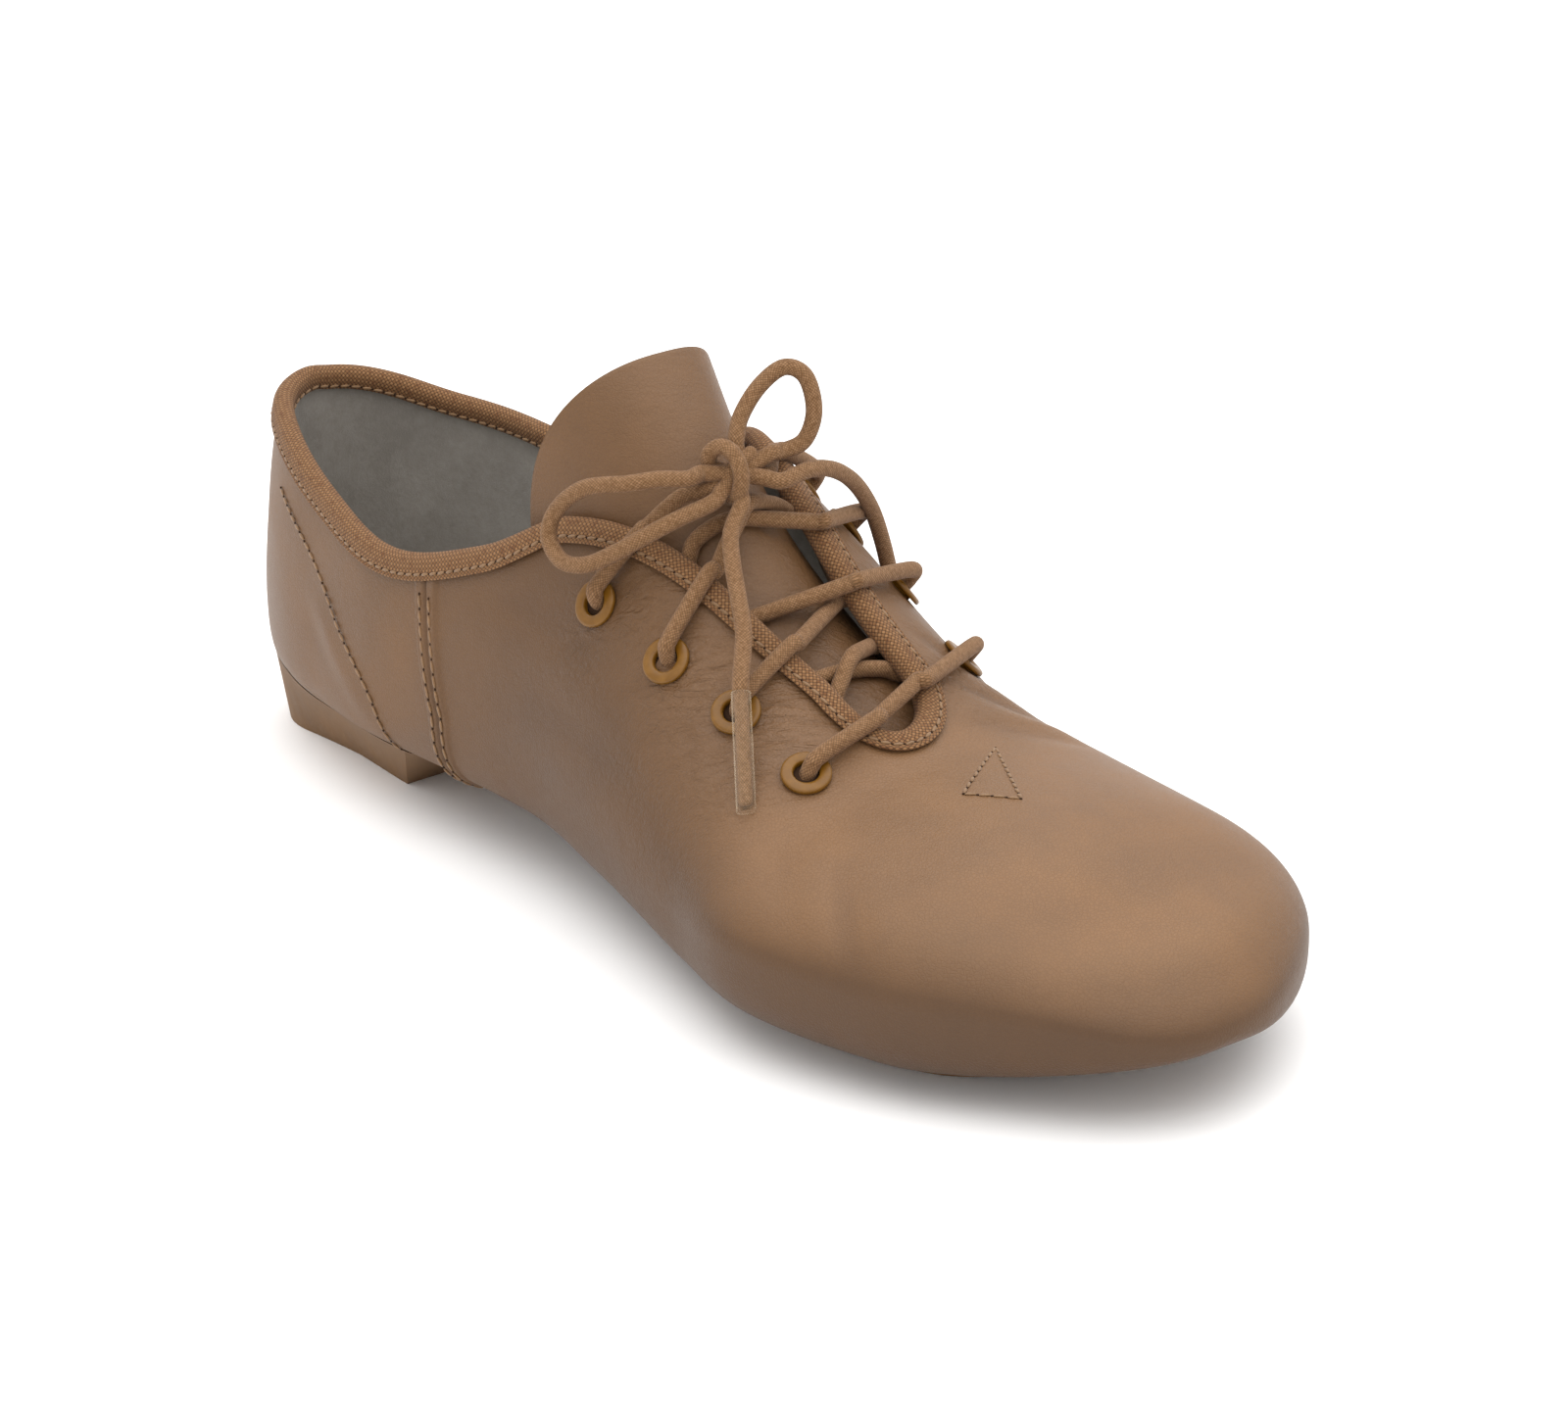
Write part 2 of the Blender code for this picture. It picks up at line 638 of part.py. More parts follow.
def patch(ends, width, back_round, front_round, count, inset):
    """A grid on the last's underside with rounded ends: rows and shares of the width."""
    low, high = ends[0] * LENGTH, ends[1] * LENGTH
    t = (1 - np.cos(np.linspace(0, np.pi, count))) / 2
    rows = low + (high - low) * t
    reach = np.maximum(closing((rows - low) / back_round) * closing((high - rows) / front_round), 0.22)
    shares = width * reach[:, None] * np.array(SHARES)
    return underside(rows[:, None], shares, inset)


def make_insole(collection):
    """The suede insole, which lies on the upper's turned-in edge and closes its windows."""
    inset = WALL + 2 * GAP
    bottom = patch(INSOLE_ENDS, INSOLE_WIDTH, HEEL_ROUND / 2, TOE_ROUND / 2, 22, inset)
    top = bottom + (0, 0, INSOLE_THICKNESS)
    return add_object("insole", slab("insole", top, bottom), "suede", collection)


SOLE_ENDS = (0.560, 0.900)
SOLE_WIDTH = 0.66
SOLE_EDGE_RISE = 0.45
SOLE_CLEARANCE = 0.1 * MM


def make_sole(collection):
    """The forefoot sole, flat on the floor under the ball and rising with the toe spring."""
    top = patch(SOLE_ENDS, SOLE_WIDTH, TOE_ROUND * 0.8, TOE_ROUND * 0.8, 18, 0.0)
    top[..., 2] -= GAP + SOLE_CLEARANCE
    keel = top[:, len(SHARES) // 2, 2][:, None]
    bottom = top.copy()
    bottom[..., 2] = keel + SOLE_CLEARANCE - SOLE_THICKNESS + SOLE_EDGE_RISE * (top[..., 2] - keel)
    return add_object("forefoot_sole", slab("forefoot_sole", top, bottom), "rubber", collection)


HEEL_TOP_ENDS = (0.014, 0.262)
HEEL_BASE_ENDS = (0.012, 0.212)
HEEL_TOP_WIDTH = 0.86
HEEL_BASE_WIDTH = 0.60
HEEL_TOP_CORNER = 0.70
HEEL_BASE_CORNER = 0.45
HEEL_SHARES = (-1.0, -0.90, -0.78, -0.60, -0.34, 0.0, 0.34, 0.60, 0.78, 0.90, 1.0)
HEEL_BACK_SHARE = 0.15
HEEL_CLEARANCE = 0.3 * MM


def heel_outline(ends, share, corner):
    """Rows from back to front and how far each of their columns lies from the middle line.

    The back's corners are round over this share of the last's own heel rounding.
    """
    rows = (ends[0] + (ends[1] - ends[0]) * np.linspace(0, 1, 16) ** 1.8) * LENGTH
    reach = np.maximum(closing((rows - rows[0]) / (HEEL_ROUND * corner)), HEEL_BACK_SHARE)[:, None]
    full = section(np.maximum(rows, HEEL_ROUND))
    across = np.array(HEEL_SHARES) * share * reach
    return rows[:, None], across * np.where(across < 0, full["outer"][:, None], full["inner"][:, None])


def make_heel(collection):
    """The low rubber heel: round behind, straight in front, with a breast that leans forwards."""
    rows, across = heel_outline(HEEL_TOP_ENDS, HEEL_TOP_WIDTH, HEEL_TOP_CORNER)
    size = section(rows)
    share = across / np.where(across < 0, size["outer"], size["inner"])
    top = underside(rows, np.clip(share, -0.95, 0.95))
    top[..., 2] -= GAP + HEEL_CLEARANCE
    rows, across = heel_outline(HEEL_BASE_ENDS, HEEL_BASE_WIDTH, HEEL_BASE_CORNER)
    bottom = np.stack([rows + 0 * across, section(rows)["middle"] + across, 0 * across], -1)
    return add_object("heel", slab("heel", top, bottom), "rubber", collection)


def spline_points(points, spacing):
    """Points about spacing apart on a smooth curve through the given ones."""
    points = np.array(points, float)
    ghost = np.concatenate([[2 * points[0] - points[1]], points, [2 * points[-1] - points[-2]]])
    found = []
    for a, b, c, d in zip(ghost, ghost[1:], ghost[2:], ghost[3:]):
        steps = max(1, round(float(np.linalg.norm(c - b)) / spacing))
        t = np.arange(steps)[:, None] / steps
        found.append(0.5 * (2 * b + (c - a) * t + (2 * a - 5 * b + 4 * c - d) * t**2
                            + (3 * b - a - 3 * c + d) * t**3))
    return np.concatenate([*found, points[-1:]])


def add_cord(name, points, diameter, slot, collection, spacing=5 * MM):
    """A round cord along a smooth route, with closed ends."""
    route = spline_points(points, spacing) - (SEAT_X, 0, 0)
    curve = bpy.data.curves.new(name, "CURVE")
    curve.dimensions = "3D"
    curve.bevel_depth = diameter / 2
    curve.bevel_resolution = 2
    curve.use_fill_caps = True
    line = curve.splines.new("POLY")
    line.points.add(len(route) - 1)
    line.points.foreach_set("co", np.column_stack([route, np.ones(len(route))]).ravel())
    return add_object(name, curve, slot, collection)


def as_mesh(cord, collection):
    """The same cord as a mesh with welded caps, ready to be joined."""
    evaluated = cord.evaluated_get(bpy.context.evaluated_depsgraph_get())
    mesh = bpy.data.meshes.new_from_object(evaluated)
    edit = bmesh.new()
    edit.from_mesh(mesh)
    bmesh.ops.remove_doubles(edit, verts=edit.verts, dist=0.002 * MM)
    edit.to_mesh(mesh)
    edit.free()
    name = cord.name
    curve = cord.data
    bpy.data.objects.remove(cord)
    bpy.data.curves.remove(curve)
    made = bpy.data.objects.new(name, mesh)
    collection.objects.link(made)
    return made


def lace_height():
    """How far a lace's middle lies from a face that it clears."""
    return LACE_DIAMETER / 2 + GAP


def tongue_under(x, share):
    """The tongue's outer face at x, and its normal there."""
    station = x / LENGTH
    for _ in range(8):
        station += (x - tongue_point(station, share)[0]) / LENGTH
    step = 0.004
    along = tongue_point(station + step, share) - tongue_point(station - step, share)
    across = tongue_point(station, share + step) - tongue_point(station, share - step)
    normal = np.cross(along, across)
    return tongue_point(station, share), normal / np.linalg.norm(normal) * np.sign(normal[2])


EDGE_MARGIN = 5.8 * MM
CREST_MARGIN = 8.4 * MM
CROSSING_LEAN = 0.22
TONGUE_CLEARANCE = 0.3 * MM
CREST_CLEARANCE = 0.7 * MM


def edge_frame(x, side):
    """The opening's edge beside the throat at x, with the outward normal and the way out."""
    loop = [part[np.sign(edge_loop()[0][:, 1]) == side] for part in edge_loop()]
    order = np.argsort(loop[0][:, 0])
    return [np.array([np.interp(x, loop[0][order, 0], part[order, i]) for i in range(3)]) for part in loop]


def over_binding(x, side, angles):
    """Points of a lace that bends over the binding, at angles from straight out of the wall."""
    edge, normal, out = edge_frame(x, side)
    centre = edge - normal * WALL / 2 + out * GAP
    wall = WALL / 2 + GAP + BINDING_CLEARANCE + BINDING_THICKNESS
    reach = wall + lace_height() + CREST_CLEARANCE
    return [centre + reach * (normal * math.cos(t) + out * math.sin(t)) for t in np.radians(angles)]


def over_eyelet(index):
    """The middle of a lace that lies over an eyelet's lip."""
    seat, normal = eyelet_seats()[index]
    return seat + normal * (GAP + EYELET_LIP + lace_height() + CREST_CLEARANCE)


def tongue_share(x, side, margin):
    """How far across the tongue a point lies that keeps this margin to the throat's edge."""
    table = columns(TONGUE)
    half = smooth(table["station"][::-1], table["width"][::-1], x / LENGTH) * BALL_WIDTH / 2
    y = edge_frame(x, side)[0][1] - side * margin
    return math.asin(float(np.clip((y - TONGUE_SHIFT) / half, -0.95, 0.95))) / (math.pi / 2)


def crossing_route(index, side):
    """From over one eyelet, over its own binding and along the tongue, to near the other edge.

    The first crossing starts beside its own edge, because its laces come from inside the shoe.
    """
    seats = eyelet_seats()
    near = index if side < 0 else index + 4
    start = seats[near][0][0]
    end = seats[index + 1 if side > 0 else index + 5][0][0]
    edge_x = start + CROSSING_LEAN * (end - start)
    inside = index == 0
    route = [] if inside else [over_eyelet(near), *over_binding(edge_x, side, (5, 50))]
    low = tongue_share(edge_x, side, EDGE_MARGIN if inside else CREST_MARGIN)
    high = tongue_share(edge_x + 0.9 * (end - edge_x), -side, EDGE_MARGIN)
    for way in np.linspace(0, 1, 5):
        x = edge_x + (0.10 + 0.80 * way) * (end - edge_x)
        point, up = tongue_under(x, low + (high - low) * way)
        route.append(point + up * (lace_height() + TONGUE_CLEARANCE))
    return route


def make_laces(collection):
    """The lace's bar and crossings, and its knot, loops and ends as free cords."""
    first, last = over_eyelet(0), over_eyelet(4)
    x = (first[0] + last[0]) / 2
    bar = [first, *over_binding(x, -1, (10, 45)), *over_binding(x, 1, (45, 10)), last]
    add_cord("lace_bar", bar, LACE_DIAMETER, "cord", collection, 3.5 * MM)
    for index in range(3):
        pair = []
        for side in (-1, 1):
            cord = add_cord("lace_crossing_%d" % (index + 1), crossing_route(index, side),
                            LACE_DIAMETER, None, collection, 3.5 * MM)
            pair.append(as_mesh(cord, collection))
        whole, part = pair
        join = whole.modifiers.new("join", "BOOLEAN")
        join.operation = "UNION"
        join.solver = "EXACT"
        join.object = part
        mesh = bpy.data.meshes.new_from_object(whole.evaluated_get(bpy.context.evaluated_depsgraph_get()))
        whole.modifiers.clear()
        whole.data = mesh
        mesh.materials.append(new_material("cord"))
        bpy.data.objects.remove(part)
    make_bow(collection)


def from_knot(point):
    """Where a cord that runs to this point leaves the knot, square to the knot's face."""
    centre, size = np.array(KNOT) * MM
    way = point - centre
    return centre + way * (1 / np.linalg.norm(way / size) + GAP / np.linalg.norm(way))


def make_bow(collection):
    """The knot, its two loops, and its two ends with their aglets."""
    centre, size = KNOT
    bpy.ops.mesh.primitive_uv_sphere_add(segments=12, ring_count=8, radius=1.0)
    knot = bpy.context.object
    knot.name = "lace_knot"
    place = Matrix.Translation(Vector(centre) * MM - Vector((SEAT_X, 0, 0)))
    knot.data.transform(place @ Matrix.Diagonal((*(Vector(size) * MM), 1)))
    knot.data.materials.append(new_material("cord"))
    for home in list(knot.users_collection):
        home.objects.unlink(knot)
    collection.objects.link(knot)
    for name, route in (("lace_loop_outer", LOOP_OUTER), ("lace_loop_inner", LOOP_INNER),
                        ("lace_end_outer", END_OUTER), ("lace_end_inner", END_INNER)):
        points = np.array(route) * MM
        points = np.vstack([from_knot(points[0]), points])
        if "loop" in name:
            points = np.vstack([points, from_knot(points[-1])])
        add_cord(name, points, LACE_DIAMETER, "cord", collection, 4 * MM)
        if name.startswith("lace_end"):
            way = points[-1] - points[-2]
            way /= np.linalg.norm(way)
            start = points[-1] + way * GAP
            aglet = name.replace("lace_end", "aglet")
            add_cord(aglet, [start, start + way * AGLET_LENGTH / 2, start + way * AGLET_LENGTH],
                     AGLET_DIAMETER, "aglet", collection, AGLET_LENGTH / 2)


def main():
    for old in list(bpy.data.objects):
        bpy.data.objects.remove(old)
    shoe = bpy.data.collections.new(NAME)
    cutters = bpy.data.collections.new(NAME + "_cutters")
    for collection in (shoe, cutters):
        bpy.context.scene.collection.children.link(collection)
    make_sole(shoe)
    make_heel(shoe)
    make_upper(shoe, cutters)
    make_insole(shoe)
    make_tongue(shoe)
    make_binding(shoe)
    make_eyelets(shoe)
    make_laces(shoe)


main()
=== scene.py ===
# Looks of the jazz shoe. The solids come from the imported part, and every visible surface here is
# worked out again, finer, from the same last: all sizes are in millimetres from the back of the
# heel, +x to the toe, +y to the inner side, and inMetres moves them into the part's frame.

import math

import bmesh
import bpy
import numpy as np
from mathutils import Matrix, Vector


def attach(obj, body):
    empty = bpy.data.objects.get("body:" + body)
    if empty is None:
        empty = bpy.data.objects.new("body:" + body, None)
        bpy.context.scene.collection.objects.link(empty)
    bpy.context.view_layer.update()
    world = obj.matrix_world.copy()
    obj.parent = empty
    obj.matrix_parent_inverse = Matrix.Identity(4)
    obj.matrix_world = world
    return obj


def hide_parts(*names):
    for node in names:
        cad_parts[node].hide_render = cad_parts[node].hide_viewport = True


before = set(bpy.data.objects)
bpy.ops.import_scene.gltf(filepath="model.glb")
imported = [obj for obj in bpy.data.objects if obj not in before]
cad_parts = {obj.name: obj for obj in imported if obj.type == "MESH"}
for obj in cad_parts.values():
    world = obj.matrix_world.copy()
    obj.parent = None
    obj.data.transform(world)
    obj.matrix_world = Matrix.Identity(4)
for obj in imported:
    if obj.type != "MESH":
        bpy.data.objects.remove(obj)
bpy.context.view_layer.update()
print("frame loaded")

# Camera at the photograph's angle: turn and rise round the shoe, then the roll of the frame
cameraView = {
    "turn": 52.22, "rise": 22.59, "roll": -1.30,    # degrees
    "distance": 0.8194, "target": (0.096, 0.0, 0.030),
    "lens": 108.66, "sensor": 36.0, "shift": (0.0311, 0.0081),
}


def setCamera(view):
    # Back and right follow from the turn and the rise, and the roll turns right and up together
    turn, rise, roll = (math.radians(view[name]) for name in ("turn", "rise", "roll"))
    back = Vector((math.sin(turn) * math.cos(rise), -math.cos(turn) * math.cos(rise), math.sin(rise)))
    right = Vector((math.cos(turn), math.sin(turn), 0))
    up = back.cross(right)
    across = right * math.cos(roll) + up * math.sin(roll)
    over = up * math.cos(roll) - right * math.sin(roll)
    data = bpy.data.cameras.new("camera")
    data.lens, data.sensor_width = view["lens"], view["sensor"]
    data.shift_x, data.shift_y = view["shift"]
    data.clip_start, data.clip_end = 0.01, 50
    camera = bpy.data.objects.new("camera", data)
    place = Matrix((across, over, back)).transposed().to_4x4()
    place.translation = Vector(view["target"]) + back * view["distance"]
    camera.matrix_world = place
    bpy.context.scene.collection.objects.link(camera)
    bpy.context.scene.camera = camera


setCamera(cameraView)
print("camera set")

# The last, with the same sizes and tables as the part
last = {
    "length": 250.0, "ballWidth": 90.0, "instepHeight": 98.0, "seatX": 29.0,
    "heelRound": 36.0, "heelTopRound": 12.0, "heelUnderRound": 10.0,
    "toeRound": 42.0, "toeTopRound": 34.0, "toeUnderRound": 32.0, "toeFullness": 2.12,
    "keelFlat": 0.30, "keelRoundness": 3.1, "keel": 200.0,
    "gap": 0.3, "wall": 1.5, "soleThickness": 2.0, "heelHeight": 9.2,
    "collarHeight": 62.0, "throatWidth": 40.0, "throatEnd": 0.690,
}
sections = (
    ("station", "outer", "inner", "shift", "widest", "lift", "top", "outerRound", "innerRound"),
    (0.00, 0.540, 0.565, -0.110, 0.275, 1.00, 0.820, 1.70, 2.00),
    (0.12, 0.627, 0.611, -0.053, 0.252, 1.00, 0.972, 1.65, 2.10),
    (0.25, 0.720, 0.636, -0.035, 0.262, 1.04, 1.000, 1.70, 2.15),
    (0.40, 0.713, 0.674, 0.000, 0.265, 0.95, 0.880, 1.70, 2.25),
    (0.52, 0.797, 0.755, 0.000, 0.228, 0.56, 0.712, 1.73, 2.20),
    (0.64, 0.916, 0.870, -0.013, 0.192, 0.10, 0.498, 1.78, 1.95),
    (0.72, 0.992, 1.008, -0.030, 0.202, 0.00, 0.396, 1.80, 2.00),
    (0.82, 0.919, 0.962, 0.010, 0.190, 0.00, 0.384, 1.80, 2.00),
    (0.92, 0.758, 0.822, 0.060, 0.187, 0.46, 0.325, 1.80, 2.05),
    (1.00, 0.656, 0.663, 0.004, 0.162, 0.79, 0.285, 1.80, 2.10),
)
collarTable = (
    ("station", "outer", "inner"),
    (0.000, 1.030, 1.030), (0.078, 0.965, 0.910), (0.172, 0.866, 0.870),
    (0.260, 0.808, 0.850), (0.357, 0.907, 0.993), (0.416, 1.040, 1.150),
)
throatTable = (
    ("station", "outer", "inner"),
    (0.500, 0.810, 0.690), (0.583, 0.590, 0.530), (0.640, 0.400, 0.560),
)
length = last["length"]
throatEndX = last["throatEnd"] * length


def columnsOf(rows):
    # A table's columns as arrays, by the names in its first row
    return dict(zip(rows[0], np.array(rows[1:], float).T))


def smooth(xs, ys, x):
    # Cubic pieces through the points, with the harmonic mean of the slopes, so they never overshoot
    step = np.diff(xs)
    slope = np.diff(ys) / step
    tangent = np.zeros_like(ys)
    tangent[0], tangent[-1] = slope[0], slope[-1]
    first = 2 * step[1:] + step[:-1]
    second = step[1:] + 2 * step[:-1]
    with np.errstate(divide="ignore", invalid="ignore"):
        mean = (first + second) / (first / slope[:-1] + second / slope[1:])
    tangent[1:-1] = np.where(slope[:-1] * slope[1:] > 0, mean, 0.0)
    x = np.clip(x, xs[0], xs[-1])
    at = np.clip(np.searchsorted(xs, x) - 1, 0, len(step) - 1)
    t = (x - xs[at]) / step[at]
    return ((2 * t**3 - 3 * t**2 + 1) * ys[at] + (t**3 - 2 * t**2 + t) * step[at] * tangent[at]
            + (3 * t**2 - 2 * t**3) * ys[at + 1] + (t**3 - t**2) * step[at] * tangent[at + 1])


def closing(share, fullness=2.0):
    # A round end: one minus (one minus share) to the power, and its root, from 0 to full size
    share = np.clip(share, 0, 1)
    return (1 - (1 - share) ** fullness) ** (1 / fullness)


def section(x, inset=0.0):
    # The last's sizes at x: table values times the ball width or instep height, closed at the ends
    table = columnsOf(sections)
    value = {name: smooth(table["station"], table[name], x / length) for name in table}

    def ends(back, front, fullness=2.0):    # The round end at the heel times the one at the toe
        return (closing((x - inset) / (last[back] - inset))
                * closing((length - x - inset) / (last[front] - inset), fullness))

    ball = last["soleThickness"] + last["gap"]
    bottom = ball + value["lift"] * (last["heelHeight"] + last["gap"] - ball)
    widest = value["widest"] * last["instepHeight"]
    half = last["ballWidth"] / 2
    plan = ends("heelRound", "toeRound", last["toeFullness"])
    return {
        "outer": (value["outer"] * half - inset) * plan,
        "inner": (value["inner"] * half - inset) * plan,
        "middle": value["shift"] * half,
        "widest": widest,
        "up": (value["top"] * last["instepHeight"] - widest - inset)
        * ends("heelTopRound", "toeTopRound"),
        "down": (widest - bottom - inset) * ends("heelUnderRound", "toeUnderRound"),
        "outerRound": value["outerRound"],
        "innerRound": value["innerRound"],
    }


def lastPoint(x, angle, side, inset=0.0):
    # A superellipse round each section, powers of the angle's sine across and of its cosine up or
    # down: 0 is the ridge, 90 the widest place, 180 the flat keel and 200 the keel's middle
    x, angle, side = np.broadcast_arrays(np.asarray(x, float), np.asarray(angle, float), side)
    size = section(x, inset)
    width = np.where(side < 0, size["outer"], size["inner"])
    power = 2 / np.where(side < 0, size["outerRound"], size["innerRound"])
    turn = np.radians(np.minimum(angle, 180))
    sine, cosine = np.abs(np.sin(turn)), np.abs(np.cos(turn))
    below = angle > 90
    keel = 2 / last["keelRoundness"]
    flat = last["keelFlat"] * np.clip((last["keel"] - angle) / (last["keel"] - 180), 0, 1)
    across = np.where(below, flat + (1 - last["keelFlat"]) * sine**keel, sine**power)
    rise = np.where(below, -size["down"] * cosine**keel, size["up"] * cosine**power)
    return np.stack([x, size["middle"] + side * width * across, size["widest"] + rise], -1)


def angleAtHeight(x, z, side):
    # The angle on the section at x where the last's side has this height: the arc cosine of the
    # height's share above or below the widest place, to the superellipse's power
    size = section(np.asarray(x, float))
    power = np.where(np.asarray(side) < 0, size["outerRound"], size["innerRound"]) / 2
    over = np.clip((z - size["widest"]) / np.maximum(size["up"], 1e-9), 0, 1) ** power
    under = np.clip((size["widest"] - z) / np.maximum(size["down"], 1e-9), 0, 1)
    under **= last["keelRoundness"] / 2
    return np.degrees(np.where(z >= size["widest"], np.arccos(over), np.pi - np.arccos(under)))


def underside(x, share, inset=0.0):
    # The last's lower surface, share of the way from its middle to its widest line: flat at first,
    # then a superellipse of what is left
    x, share = np.broadcast_arrays(np.asarray(x, float), np.asarray(share, float))
    size = section(x, inset)
    width = np.where(share < 0, size["outer"], size["inner"])
    bend = np.clip((np.abs(share) - last["keelFlat"]) / (1 - last["keelFlat"]), 0, 1)
    drop = (1 - bend ** last["keelRoundness"]) ** (1 / last["keelRoundness"])
    return np.stack([x, size["middle"] + share * width, size["widest"] - size["down"] * drop], -1)


def sideValue(table, x, side):
    # The outer or inner column of the table, smoothed along its stations
    table = columnsOf(table)
    outer, inner = (smooth(table["station"], table[name], x / length) for name in ("outer", "inner"))
    return np.where(side < 0, outer, inner)


cornerX = collarTable[-1][0] * length


def collarAngle(x, side):
    # Where the collar's height cuts the section
    return angleAtHeight(x, last["collarHeight"] * sideValue(collarTable, x, side), side)


def throatAngle(x, side):
    # Where the throat's half opening cuts the section, closed with a round end at the vamp: the arc
    # sine of its share of the half width, to the section's power
    table = columnsOf(throatTable)
    found = []
    for name, way in (("outer", -1), ("inner", 1)):
        corner = lastPoint(cornerX, collarAngle(np.array(cornerX), way), way)
        cornerGap = abs(corner[1] - section(np.array(cornerX))["middle"])
        places = np.array([cornerX / length, *table["station"]])
        gaps = np.array([cornerGap, *(table[name] * last["throatWidth"] / 2)])
        tip = (throatEndX - x) / (throatEndX - places[-1] * length)
        gap = smooth(places, gaps, np.minimum(x / length, places[-1])) * closing(tip)
        size = section(x)
        share = np.clip(gap / size[name], 0, 1)
        found.append(np.degrees(np.arcsin(share ** (size[name + "Round"] / 2))))
    return np.where(np.asarray(side) < 0, *found)


def findBack():
    # Halving finds where the collar crosses the ridge at the back
    low, high = 0.0, last["heelTopRound"]
    for _ in range(40):
        middle = np.array((low + high) / 2)
        size = section(middle)
        below = size["widest"] + size["up"] < last["collarHeight"] * sideValue(collarTable, middle, -1)
        low, high = (float(middle), high) if below else (low, float(middle))
    return high


backX = findBack()


def edgeAngle(x, side):
    # The opening's edge: the collar behind the corner, the throat before it, and 0 where closed
    x, side = np.broadcast_arrays(np.asarray(x, float), side)
    angle = np.where(x <= cornerX, collarAngle(x, side), throatAngle(x, side))
    return np.where((x <= backX) | (x >= throatEndX), 0.0, angle)


# Helpers for meshes
def inMetres(points):
    # Millimetres from the heel's back, less the seat's place, over a thousand
    return (np.asarray(points, float) - (last["seatX"], 0, 0)) / 1000


def unit(vectors):
    # Each vector over its own length
    return vectors / np.maximum(np.linalg.norm(vectors, axis=-1, keepdims=True), 1e-12)


def distancesAlong(route):
    # The lengths of a route's stretches added up to each of its points, from zero
    return np.concatenate([[0], np.cumsum(np.linalg.norm(np.diff(route, axis=0), axis=1))])


def between(places, run, values):
    # Straight from the value before each place to the one after it, column by column
    return np.stack([np.interp(places, run, values[:, k]) for k in range(values.shape[1])], -1)


def gridFaces(rows, across, wrapRows=False, wrapColumns=False):
    # Quads between neighbouring rows and columns, and each corner's own row and column before wrapping
    i, j = np.indices((rows - (not wrapRows), across - (not wrapColumns)))
    row = np.stack([i, i, i + 1, i + 1], -1).reshape(-1, 4)
    column = np.stack([j, j + 1, j + 1, j], -1).reshape(-1, 4)
    return row % rows * across + column % across, row, column


def facingIn(points, faces, facing):
    # Whether the faces' sum of normal times place, or of normal along facing, is negative
    a, b, c, d = (points[faces[:, k]] for k in range(4))
    normal = np.cross(c - a, d - b)
    if facing is None:
        total = (normal * ((a + c) / 2 - points.mean(0))).sum()
    else:
        total = (normal @ np.array(facing, float)).sum()
    return total < 0


def addPiece(name, points, faces, material, uv=None, facing=None, slotName=None, replaced=(),
             marks=None):
    # One mesh piece from points in millimetres, quads, a UV for every corner and marks for every point
    points = np.asarray(points, float).reshape(-1, 3)
    if facingIn(points, faces, facing):
        faces = faces[:, ::-1]
        uv = None if uv is None else uv[:, ::-1]
    mesh = bpy.data.meshes.new(name)
    mesh.from_pydata(inMetres(points).tolist(), [], faces.tolist())
    if uv is not None:
        layer = mesh.uv_layers.new(name="weave")
        layer.data.foreach_set("uv", np.ascontiguousarray(uv, dtype=np.float32).ravel())
    for title, values in (marks or {}).items():
        data = mesh.attributes.new(title, "FLOAT", "POINT").data
        data.foreach_set("value", np.ravel(values).astype(np.float32))
    edit = bmesh.new()
    edit.from_mesh(mesh)
    bmesh.ops.remove_doubles(edit, verts=edit.verts, dist=0.000002)
    edit.to_mesh(mesh)
    edit.free()
    mesh.shade_smooth()
    for item in material if isinstance(material, (list, tuple)) else [material]:
        mesh.materials.append(item)
    piece = bpy.data.objects.new(name, mesh)
    bpy.context.scene.collection.objects.link(piece)
    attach(piece, "root")
    if replaced:
        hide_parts(*replaced)
    return piece


def splinePoints(points, steps=24):
    # A cubic through each two points, its slope at each half the step between that point's
    # neighbours, cut into equal steps
    points = np.array(points, float)
    ghost = np.concatenate([[2 * points[0] - points[1]], points, [2 * points[-1] - points[-2]]])
    a, b, c, d = (ghost[k:len(ghost) - 3 + k, None] for k in range(4))
    t = (np.arange(steps) / steps)[None, :, None]
    curve = 0.5 * (2 * b + (c - a) * t + (2 * a - 5 * b + 4 * c - d) * t**2
                   + (3 * b - a - 3 * c + d) * t**3)
    return np.concatenate([curve.reshape(-1, 3), points[-1:]])


def evenly(curve, spacing):
    # The same curve with points at equal distances along it
    run = distancesAlong(curve)
    count = max(4, int(round(run[-1] / spacing)) + 1)
    return between(np.linspace(0, run[-1], count), run, curve)


def framesAlong(route):
    # At each point the tangent and two directions square to it, carried on with the least turning
    tangent = unit(np.gradient(route, axis=0))
    first = np.cross(tangent[0], (0.3, 0.2, 1.0))
    side = [first / np.linalg.norm(first)]
    for way in tangent[1:]:
        carried = side[-1] - way * (side[-1] @ way)
        side.append(carried / np.linalg.norm(carried))
    side = np.array(side)
    return tangent, side, np.cross(tangent, side)


